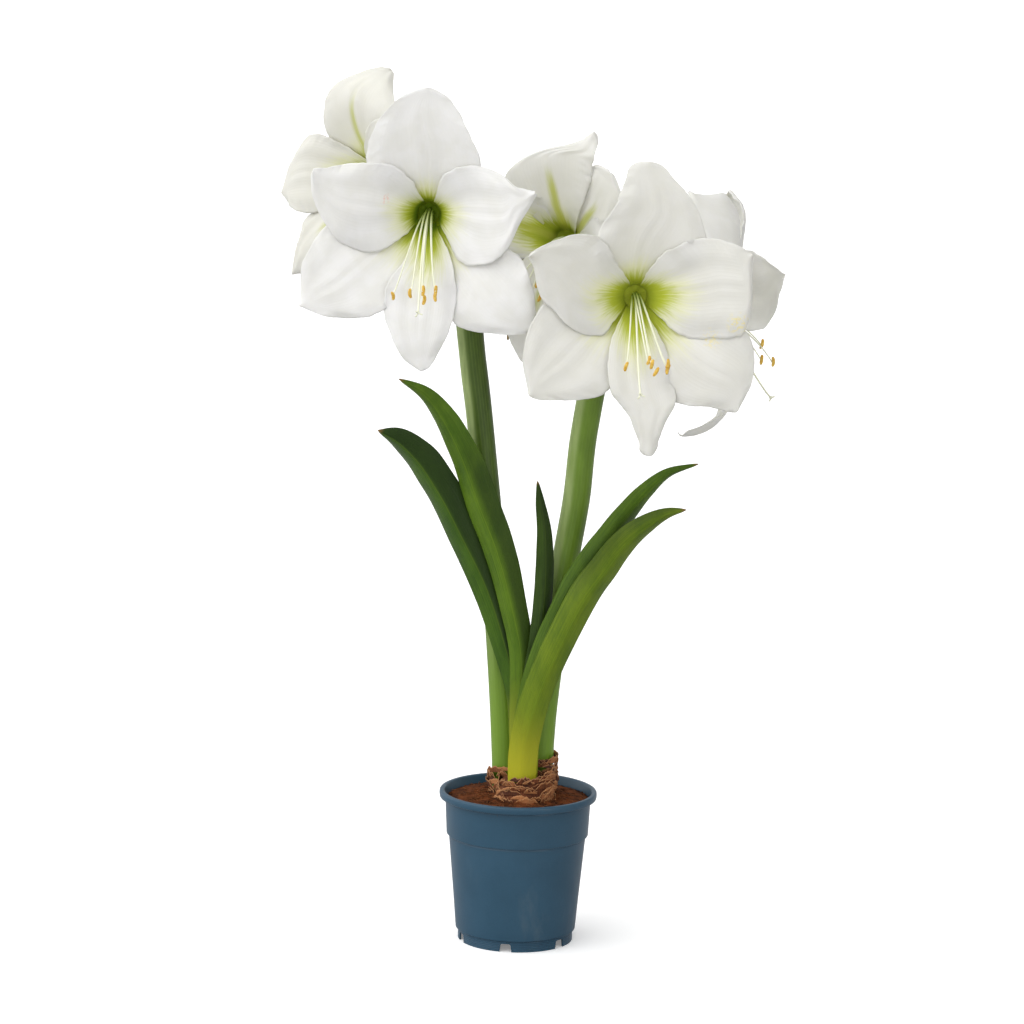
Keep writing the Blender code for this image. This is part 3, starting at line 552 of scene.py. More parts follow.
def crumbTree(fibres):
    # Scatters rough crumbs or bent fibres over the faces that it is given.
    tree, given, out = newGroup("fibreScatter" if fibres else "crumbScatter", "GeometryNodeTree", (
        ("Geometry", "Geometry", None), ("Density", "Float", 1000.0), ("Size", "Float", 0.001),
        ("Seed", "Int", 0), ("Material", "Material", None),
    ), (("Geometry", "Geometry"),))

    spread = node(tree, "GeometryNodeDistributePointsOnFaces", {
        "Mesh": given["Geometry"], "Density": given["Density"], "Seed": given["Seed"],
    })
    if fibres:
        line = node(tree, "GeometryNodeCurvePrimitiveBezierSegment", {
            "Resolution": 5, "Start": (-0.5, 0, 0), "Start Handle": (-0.1, 0.25, 0.1),
            "End Handle": (0.2, -0.2, 0.12), "End": (0.5, 0.05, 0),
        })
        ring = node(tree, "GeometryNodeCurvePrimitiveCircle", {"Resolution": 3, "Radius": 0.022})
        body = node(tree, "GeometryNodeCurveToMesh", {
            "Curve": line.outputs[0], "Profile Curve": ring.outputs[0], "Fill Caps": True,
        }).outputs[0]
        tilt, low, high = 0.35, (0.5, 0.5, 0.5), (1.3, 1.3, 1.3)
    else:
        body = node(tree, "GeometryNodeMeshIcoSphere", {"Radius": 0.5, "Subdivisions": 1}).outputs[0]
        tilt, low, high = math.pi, (0.35, 0.35, 0.3), (1.7, 1.4, 1.2)
    turn, size = (node(tree, "FunctionNodeRandomValue", {
        0: least, 1: most, "Seed": seed,
    }, data_type="FLOAT_VECTOR").outputs[0] for least, most, seed in (
        ((-tilt, -tilt, 0.0), (tilt, tilt, 2 * math.pi), 5), (low, high, 8)))
    scale = node(tree, "ShaderNodeVectorMath", {0: size, "Scale": given["Size"]}, operation="SCALE")
    placed = node(tree, "GeometryNodeInstanceOnPoints", {
        "Points": spread.outputs["Points"], "Instance": body, "Rotation": turn, "Scale": scale.outputs[0],
    })
    real = node(tree, "GeometryNodeRealizeInstances", {0: placed.outputs[0]}).outputs[0]
    if not fibres:
        rough = node(tree, "ShaderNodeTexNoise", {"Scale": 900.0, "Detail": 2.0}, noise_dimensions="3D")
        shift = node(tree, "ShaderNodeVectorMath", {
            0: rough.outputs["Color"], 1: (0.5, 0.5, 0.5),
        }, operation="SUBTRACT")
        shift = node(tree, "ShaderNodeVectorMath", {
            0: shift.outputs[0], "Scale": 0.0012,
        }, operation="SCALE")
        real = node(tree, "GeometryNodeSetPosition", {
            "Geometry": real, "Offset": shift.outputs[0],
        }).outputs[0]
    made = node(tree, "GeometryNodeSetMaterial", {"Geometry": real, "Material": given["Material"]})
    tree.links.new(made.outputs[0], out["Geometry"])
    return tree


def bakeNodes(name, carrier, group, **values):
    # Runs the tree on the carrier and keeps the result as a plain mesh.
    modifier = carrier.modifiers.new("Nodes", "NODES")
    modifier.node_group = group
    for item in group.interface.items_tree:
        if item.item_type == "SOCKET" and item.in_out == "INPUT" and item.name in values:
            modifier[item.identifier] = values[item.name]
    bpy.context.view_layer.update()
    mesh = baked(carrier)
    carrier.modifiers.remove(modifier)
    mesh.name = name
    return linked(name, mesh)


def makeSoil(sizes, material):
    steps, rings, base = sizes["steps"], sizes["rings"], sizes["base"]
    angle = turns(steps)
    inner, first = sizes["firstRings"]
    reach = np.concatenate([[inner], np.linspace(first, sizes["radius"], rings - 1)])
    x, y = reach[:, None] * np.cos(angle), reach[:, None] * np.sin(angle)
    top = stacked(x, y, soilHeight(sizes, x, y))
    rows = [stacked(x[row], y[row], base)[None] for row in (0, -1)]
    points = np.concatenate(rows + [top[::-1]]).reshape(-1, 3)
    obj = makePiece("soil_top", (points, ringFaces(rings + 2, steps), points[:, :2]), material)
    turnOutwards(obj)
    settle(obj, "soil")
    outer = reach > sizes["crumbsFrom"]
    carrier = meshObject("soilCarrier", top[outer].reshape(-1, 3),
                         ringFaces(int(outer.sum()), steps, caps=False))
    for name, fibres, density, size, look in (
        ("soil_crumbs", False, sizes["crumbs"], sizes["crumbSize"], material),
        ("soil_fibres", True, sizes["fibres"], sizes["fibreLength"], fibreBrown()),
    ):
        scattered = bakeNodes(name, carrier, crumbTree(fibres), Density=density, Size=size,
                              Seed=sizes["seed"], Material=look)
        settle(scattered, "soil")
        print(name, len(scattered.data.polygons), "faces")
    bpy.data.objects.remove(carrier)
    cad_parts["soil"].data.materials[0] = material


def fibreBrown():
    material, tree, _, place = newMaterial("fibreBrown", Roughness=0.85, Specular_IOR_Level=0.15)
    dress(tree, mottled(tree, place, 90.0, 900.0, *soilSizes["coir"])["Colour"])
    return material


makeSoil(soilSizes, soilEarth())
print("soil made")


# Bulb: a wrinkled body with roots, and papery tunics wrapped round the neck and the stems.
bulbSizes = {
    "rings": (  # height, radius and centre
        (0.0345, 0.011, 0.002, -0.001), (0.0375, 0.021, 0.002, -0.001),
        (0.046, 0.031, 0.002, -0.001), (0.06, 0.0365, 0.003, -0.002),
        (0.076, 0.037, 0.004, -0.003), (0.09, 0.033, 0.005, -0.005),
        (0.101, 0.026, 0.005, -0.007), (0.112, 0.0214, 0.0045, -0.008),
        (0.1215, 0.0206, 0.0055, -0.008), (0.126, 0.019, 0.006, -0.008),
        (0.1275, 0.015, 0.0065, -0.008),
    ),
    "steps": 132, "levels": (0.0352, 0.127, 110), "wrinkle": 0.00035, "shade": 0.3,
    "roots": 5, "rootRadius": 0.0013,
    "rootFrom": (0.002, -0.001, 0.04), "rootCircle": 0.007, "rootReach": (0.012, 0.02, 0.03),
    "rootDrop": (0, 0, -0.012), "rootSink": 0.004,
    # Torn papery scales: count, heights, centres and radii at the foot and at the top, and rise
    "scales": (
        (120, 0.104, 0.129, (0.0045, -0.008), (0.0065, -0.006), 0.0222, 0.0196, 0.011),
        (42, 0.115, 0.14, (0.013, 0.011), (0.0158, 0.0165), 0.016, 0.013, 0.004),
        (34, 0.106, 0.1335, (-0.007, 0.011), (-0.0095, 0.0172), 0.0152, 0.0126, 0.003),
    ),
    "scaleHeight": (0.0026, 0.007), "scaleWidth": (0.008, 0.024), "scaleThickness": 0.0004,
    "scaleRows": 6, "scaleColumns": 21, "lift": 0.0028, "crinkle": 0.0004, "seed": 31,
    "skin": ((66, 30, 14), (130, 72, 38)), "vein": (52, 27, 14), "paleScale": (182, 122, 76),
    "darkScale": (48, 21, 10), "dryEdge": (196, 144, 98),
}


def bulbSkin():
    material, tree, surface, place = newMaterial("bulbSkin", Roughness=0.72, Specular_IOR_Level=0.25)
    upright = stretched(tree, place, 1.0, 1.0, 0.35)
    tone = mottled(tree, upright, 130.0, 700.0, *bulbSizes["skin"])
    lines = veined(tree, surface, 70.0, 1.5, 4.0)
    shade = mark(tree, "shade")
    edge = plus(tree, mark(tree, "edge"), times(tree, lines["Streaks"], 0.3))
    base = layered(
        tree, tone["Colour"],
        (times(tree, lines["Lines"], 0.35), bulbSizes["vein"]),
        (fade(tree, shade, 0.45, 1.0, 0.0, 0.75), bulbSizes["paleScale"]),
        (fade(tree, shade, 0.45, 0.0, 0.0, 0.75), bulbSizes["darkScale"]),
        (fade(tree, edge, 0.85, 1.25, 0.0, 0.75), bulbSizes["dryEdge"]),
    )
    dress(tree, base, None, plus(tree, lines["Lines"], times(tree, tone["Height"], 0.8)), 0.6, 0.0003)
    return material


def papery(sizes, band, draw):
    # One torn scale: a thin curved sheet with a ragged upper edge that lifts off the bulb.
    low, high, lowPlace, highPlace, lowRadius, highRadius, rise = band
    t = np.linspace(0, 1, sizes["scaleRows"])[:, None]
    u = np.linspace(-1, 1, sizes["scaleColumns"])[None, :]
    middle = draw.uniform(-math.pi, math.pi)
    start = draw.uniform(0, 1) ** 0.8
    tall, width = draw.uniform(*sizes["scaleHeight"]), draw.uniform(*sizes["scaleWidth"])
    lean = draw.normal(0, 0.1)
    top = high + rise * ((1 + math.cos(middle + 0.15)) / 2) ** 1.5
    angle = middle + u * width / 2 / lowRadius
    seed = int(draw.integers(1, 100000))
    torn = np.abs(waves(seed, 4 * u)) * 0.4 + np.abs(waves(seed + 1, 15 * u)) * 0.1
    reach = np.clip((1 - np.abs(u) ** 3) * (1 - torn), 0.08, 1)
    height = low + (top - low - tall) * start + tall * t * reach + lean * u * width / 2
    height = np.clip(height, low - 0.002, top)
    part = np.clip((height - low) / (top - low), 0, 1)
    radius = lowRadius + (highRadius - lowRadius) * part
    lift = sizes["lift"] * draw.uniform(0.1, 1.0) * (1 - 0.5 * start)
    radius = radius + sizes["scaleThickness"] + lift * (0.35 + 0.65 * t**1.5)
    radius = radius + sizes["crinkle"] * waves(seed + 2, 4 * u, 2 * t) * (0.3 + t)
    x, y = (lowPlace[i] + (highPlace[i] - lowPlace[i]) * part for i in range(2))
    grid = stacked(x + radius * np.cos(angle), y + radius * np.sin(angle), height)
    uv = stacked(angle / (2 * math.pi), (height - low) * 8)
    marks = stacked(t + 0 * u, draw.uniform()).reshape(-1, 2)
    return blade(grid, sizes["scaleThickness"], uv), np.concatenate([marks, marks])


def makeBulb(sizes, material):
    heights, radii, *middle = np.array(sizes["rings"]).T
    level = np.concatenate([heights[:1], np.linspace(*sizes["levels"]), heights[-1:]])
    radius, x, y = (np.interp(level, heights, values)[:, None] for values in (radii, *middle))
    angle, level = turns(sizes["steps"]), level[:, None]
    wrinkle = waves(11, 9 * np.cos(angle)[None], 9 * np.sin(angle)[None], level * 60, scale=1.4)
    wrinkle = wrinkle + 0.6 * waves(12, 30 * np.cos(angle)[None], 30 * np.sin(angle)[None], scale=1.2)
    radius = np.maximum(radius + sizes["wrinkle"] * (wrinkle - 1.0), 0.004)
    points = stacked(x + radius * np.cos(angle), y + radius * np.sin(angle), level).reshape(-1, 3)
    uv = stacked(angle / (2 * math.pi), level * 8).reshape(-1, 2)
    parts = [(points, ringFaces(len(level), sizes["steps"]), uv)]
    down, (near, middle, far) = np.array(sizes["rootDrop"]), sizes["rootReach"]
    for count in range(sizes["roots"]):
        turn = 2 * math.pi * (count + 0.3) / sizes["roots"]
        out = np.array((math.cos(turn), math.sin(turn), 0))
        sink = sizes["rootSink"] * math.sin(2.4 * count)
        start = np.array(sizes["rootFrom"]) + sizes["rootCircle"] * out
        path = bezier((
            start, start + near * out + down, start + middle * out + down + (0, 0, sink),
            start + (far + sink) * out + 2 * down + (0, 0, sink),
        ), 14)
        parts.append(rod(path, np.linspace(1.1, 0.6, 14) * sizes["rootRadius"], 12))
    body = makePiece("bulb_body", joined(parts), material)
    settle(body, "bulb_skin", "bulb")
    addAttribute(body, "shade", np.full(len(body.data.vertices), sizes["shade"]))
    draw = np.random.default_rng(sizes["seed"])
    sheets = [papery(sizes, band[1:], draw) for band in sizes["scales"] for _ in range(band[0])]
    tunics = makePiece("bulb_tunics", joined([sheet for sheet, _ in sheets]), material)
    marks = np.concatenate([values for _, values in sheets])
    for column, name in enumerate(("edge", "shade")):
        addAttribute(tunics, name, marks[:, column])
    settle(tunics, "bulb_skin")


makeBulb(bulbSizes, bulbSkin())
print("bulb made")


# Leaves. From foot to tip, a row is a place on the centre line, the half width, the turn of the
# outer face in degrees and the depth of the channel.
leafSizes = {
    "thickness": 0.0023, "edgeThickness": 0.0009, "rows": 120, "columns": 41, "tipFrom": 0.985,
    "crease": 0.03, "sway": 0.0007, "ribs": 15, "ribDepth": 0.00006, "hollowEnds": 0.15,
    # Darker, lighter and foot colours, and which leaf has which. The deep and side sets are darker copies
    # of the green: painted shade on leaves that stand in shade
    "greens": {
        "leafGreenPaintedDeepShade": ((34, 54, 12), (54, 76, 20), (128, 138, 40)),
        "leafGreenPaintedShade": ((48, 76, 16), (68, 98, 24), (140, 148, 42)),
        "leafGreen": ((62, 90, 18), (88, 116, 26), (150, 156, 42)),
        "leafYellowGreen": ((76, 100, 18), (104, 124, 24), (164, 162, 36)),
    },
    "looks": ("leafGreenPaintedShade", "leafGreen", "leafGreenPaintedDeepShade", "leafGreen", "leafYellowGreen"),
    "keel": (108, 134, 34), "hollowGreen": (26, 42, 12), "dryTip": (120, 92, 50),
    # Painted shade, a deeper green where a blade lies in shade: from and to across the blade, from and to
    # along it, and how much
    "hollow": {
        "leaf_1": (-0.12, 0.16, 0.15, 1.1, 0.85), "leaf_2": (-0.15, 0.45, 0.1, 0.85, 0.75),
        "leaf_3": (-0.35, 0.0, 0.15, 1.1, 0.55), "leaf_4": (-0.65, 0.0, 0.15, 0.85, 0.7),
        "leaf_5": (0.1, -0.9, 0.55, 1.15, 0.45),
    },
    "leaf_1": (
        (0.0015, -0.0005, 0.12, 0.008, 0, 0.0028), (0.0002, -0.0005, 0.1586, 0.008, 0, 0.0028),
        (-0.002, -0.0002, 0.1855, 0.008, 0, 0.003), (-0.0135, -0.0015, 0.2315, 0.0102, -4, 0.004),
        (-0.0285, -0.0035, 0.275, 0.0124, -10, 0.0055), (-0.0458, -0.005, 0.3099, 0.014, -20, 0.007),
        (-0.0646, -0.005, 0.3448, 0.0152, -28, 0.0075), (-0.0825, -0.007, 0.3705, 0.0142, -32, 0.007),
        (-0.0982, -0.009, 0.385, 0.0092, -34, 0.004), (-0.1109, -0.011, 0.3916, 0.0012, -34, 0.0004),
    ),
    "leaf_2": (
        (0.002, -0.006, 0.12, 0.0085, 0, 0.0028), (0.001, -0.006, 0.1601, 0.0085, 0, 0.0028),
        (0.0006, -0.007, 0.1954, 0.0088, -3, 0.0032), (0.0, -0.009, 0.2213, 0.0092, -6, 0.0038),
        (-0.0086, -0.013, 0.2631, 0.0105, -12, 0.005), (-0.0191, -0.017, 0.3008, 0.0125, -18, 0.006),
        (-0.0341, -0.02, 0.339, 0.0138, -24, 0.0065), (-0.0482, -0.024, 0.3763, 0.0125, -28, 0.006),
        (-0.0621, -0.028, 0.4037, 0.0098, -30, 0.0045), (-0.0757, -0.032, 0.4219, 0.0062, -30, 0.0025),
        (-0.095, -0.037, 0.434, 0.001, -30, 0.0004),
    ),
    "leaf_3": (
        (0.003, -0.0115, 0.12, 0.009, 0, 0.0028), (0.0048, -0.0118, 0.1609, 0.009, 4, 0.0026),
        (0.009, -0.0125, 0.1956, 0.0085, 14, 0.0024), (0.0137, -0.012, 0.2341, 0.008, 18, 0.0024),
        (0.016, -0.01, 0.2646, 0.0074, 18, 0.0024), (0.0166, -0.009, 0.2976, 0.0068, 14, 0.0026),
        (0.0155, -0.009, 0.3182, 0.0056, 16, 0.002), (0.0118, -0.0095, 0.3403, 0.0034, 16, 0.001),
        (0.0093, -0.01, 0.3556, 0.0008, 16, 0.0003),
    ),
    "leaf_4": (
        (0.0035, -0.017, 0.12, 0.0105, 0, 0.0032), (0.005, -0.0178, 0.162, 0.0105, 4, 0.0034),
        (0.0125, -0.0185, 0.2073, 0.0104, 12, 0.0036), (0.0188, -0.018, 0.2273, 0.0105, 14, 0.004),
        (0.0307, -0.0165, 0.2556, 0.0108, 18, 0.0046), (0.0466, -0.0145, 0.2869, 0.011, 22, 0.0054),
        (0.064, -0.012, 0.3116, 0.0104, 24, 0.0055), (0.0771, -0.012, 0.331, 0.0092, 26, 0.0048),
        (0.0901, -0.0125, 0.348, 0.0074, 28, 0.0035), (0.1069, -0.013, 0.3637, 0.0042, 28, 0.0015),
        (0.1291, -0.014, 0.3719, 0.0009, 28, 0.0003),
    ),
    "leaf_5": (
        (0.0025, -0.0225, 0.12, 0.0104, 0, 0.0036), (0.0034, -0.024, 0.152, 0.011, 2, 0.0038),
        (0.0103, -0.0262, 0.186, 0.0114, 8, 0.0042), (0.0203, -0.0275, 0.2144, 0.0114, 12, 0.0046),
        (0.0324, -0.0285, 0.2419, 0.0118, 14, 0.0052), (0.046, -0.029, 0.2693, 0.012, 14, 0.0064),
        (0.0618, -0.031, 0.293, 0.0116, 18, 0.0062), (0.0768, -0.034, 0.3143, 0.0104, 22, 0.0055),
        (0.0905, -0.036, 0.327, 0.0084, 24, 0.0042), (0.1065, -0.038, 0.3375, 0.0046, 26, 0.0018),
        (0.1197, -0.04, 0.3412, 0.001, 26, 0.0004),
    ),
}


def leafGreen(name, dark, light, foot):
    material, tree, surface, place = newMaterial(name, IOR=1.42, Specular_IOR_Level=0.22)
    lines = veined(tree, surface, 20.0, 0.8, 5.0)
    across, along = axes(tree, surface)[:2]
    patch = noise(tree, stretched(tree, place, 1.0, 1.0, 0.4), 45.0, 4.0, 0.6)
    tone = plus(tree, times(tree, patch, 0.6), times(tree, lines["Streaks"], 0.4))
    keel = calc(tree, "ABSOLUTE", calc(tree, "SUBTRACT", across, 0.5))
    # Painted shade: a deeper green laid where the leaf's mark says it lies in shade.
    hollow = times(tree, mark(tree, "hollow"), fade(tree, lines["Streaks"], 0.2, 0.8, 0.85, 1.0))
    pale = plus(tree, along, times(tree, lines["Streaks"], 0.06))
    dry = plus(tree, along, times(tree, patch, 0.01))
    base = layered(
        tree, colour(*dark),
        (fade(tree, tone, 0.36, 0.64), light),
        (times(tree, lines["Lines"], 0.16), light),
        (fade(tree, keel, 0.035, 0.0, 0.0, 0.35), leafSizes["keel"]),
        (hollow, leafSizes["hollowGreen"]),
        (fade(tree, pale, 0.3, 0.07), foot),
        (fade(tree, dry, 0.988, 1.004), leafSizes["dryTip"]),
    )
    height = plus(tree, lines["Lines"], times(tree, lines["Streaks"], 0.6))
    dress(tree, base, fade(tree, patch, 0.3, 0.7, 0.33, 0.47), height, 0.35, 0.00025)
    return material


def makeLeaf(name, sizes, material, seed):
    rows = smoothCurve(sizes[name], sizes["rows"])
    t = np.linspace(0, 1, len(rows))[:, None]
    along = unit(np.gradient(rows[:, :3], axis=0))
    facing = unit(np.array((0.0, -1.0, 0.0)) + along * along[:, 1:2])
    right = np.cross(along, facing)
    turn = np.radians(rows[:, 4:5])
    face = facing * np.cos(turn) + right * np.sin(turn)
    across = right * np.cos(turn) - facing * np.sin(turn)
    u = np.linspace(-1, 1, sizes["columns"])[None, :]
    tip = np.maximum(0, t - sizes["tipFrom"]) / (1.0002 - sizes["tipFrom"])
    half = rows[:, 3:4] * np.maximum(np.sqrt(np.clip(1 - tip**2, 0.0, 1)), 0.15)
    soft = sizes["crease"]
    crease = (np.sqrt(u * u + soft) - math.sqrt(soft)) / (math.sqrt(1 + soft) - math.sqrt(soft))
    sway = sizes["sway"] * waves(seed, t * 22 + 0 * u) * u**2
    sway = sway * smoothStep(t, 0.25, 0.5) * smoothStep(half, 0.0, 0.008)
    rib = sizes["ribDepth"] * np.cos(math.pi * sizes["ribs"] * u) * smoothStep(half, 0.001, 0.007)
    depth = rows[:, 5:6] * (0.5 * u * u + 0.5 * crease) + sway + rib
    middle = rows[:, None, :3] + across[:, None] * (half * u)[:, :, None]
    middle = middle - face[:, None] * depth[:, :, None]
    body = sizes["edgeThickness"] + (sizes["thickness"] - sizes["edgeThickness"]) * (1 - np.abs(u) ** 1.6)
    thickness = body * (0.35 + 0.65 * smoothStep(half, 0.0, 0.007))
    leaf = makePiece(name + "_blade", blade(middle, thickness, stacked(u * 0.5 + 0.5, t)), material)
    # The half of the channel that turns away from the window gets painted shade, a deeper green.
    low, high, foot, head, strength = sizes["hollow"][name]
    hollow = strength * smoothStep(u, low, high) * smoothStep(t, foot, foot + sizes["hollowEnds"])
    hollow = hollow * (1 - smoothStep(t, head - sizes["hollowEnds"], head))
    addAttribute(leaf, "hollow", np.tile(hollow.ravel(), 2))
    settle(leaf, "leaf_green", name)


greens = {name: leafGreen(name, *tones) for name, tones in leafSizes["greens"].items()}
for count, name in enumerate(leafSizes["looks"], 1):
    makeLeaf("leaf_%d" % count, leafSizes, greens[name], 60 + count)
print("leaves made")


# Flower stems: centre and radius from the bulb to the umbel, then a stalk and ovary for each bloom.
stemSizes = {
    # The sheen's way and edges set a painted sheen on the side towards the light.
    "sides": 44, "rows": 130, "sheenWay": (-0.93, -0.36, 0.0), "sheenEdges": (0.5, 0.95),
    "pedicel": 0.0036, "ovaryLength": 0.016, "ovaryRadius": 0.0056, "gap": 0.0003, "domeHeight": 0.003,
    # The left stem's greens are a darker copy of the right's: painted shade from the blooms above it.
    "greens": {"left": ((52, 74, 14), (72, 96, 24)), "right": ((84, 112, 22), (102, 132, 34))},
    "veinGreen": (122, 146, 60), "waxAndSheen": (168, 186, 122), "footGreen": (112, 146, 38),
    "wobble": 0.012, "dome": (0.15, 0.999, 8), "stalkSteps": 34, "ovarySteps": 22, "ovaryLobe": 0.1,
    # An ovary's radii along it, from its neck to the bloom
    "ovaryAt": (-0.15, 0.0, 0.25, 0.62, 0.88, 1.0), "ovarySwell": (0.62, 0.66, 0.92, 1.02, 0.94, 0.8),
    "left": (
        (-0.0093, 0.0175, 0.112, 0.0104), (-0.0106, 0.0175, 0.14, 0.0103),
        (-0.0134, 0.017, 0.183, 0.0102), (-0.0163, 0.016, 0.222, 0.0101),
        (-0.022, 0.013, 0.2835, 0.01), (-0.0294, 0.01, 0.349, 0.01),
        (-0.0359, 0.007, 0.406, 0.01), (-0.042, 0.005, 0.4515, 0.01),
        (-0.0458, 0.004, 0.489, 0.0101), (-0.047, 0.004, 0.512, 0.0106),
        (-0.0472, 0.004, 0.518, 0.009),
    ),
    "right": (
        (0.0152, 0.017, 0.112, 0.0108), (0.0162, 0.017, 0.15, 0.0106),
        (0.0214, 0.016, 0.2104, 0.0104), (0.0272, 0.015, 0.2609, 0.0103),
        (0.0338, 0.014, 0.3036, 0.0103), (0.039, 0.012, 0.3384, 0.0102),
        (0.043, 0.01, 0.3846, 0.0102), (0.0474, 0.008, 0.4154, 0.0102),
        (0.052, 0.006, 0.446, 0.0103), (0.0553, 0.0045, 0.469, 0.0107),
        (0.056, 0.004, 0.475, 0.009),
    ),
    "blooms": {"left": "ae", "right": "bcd"},
}
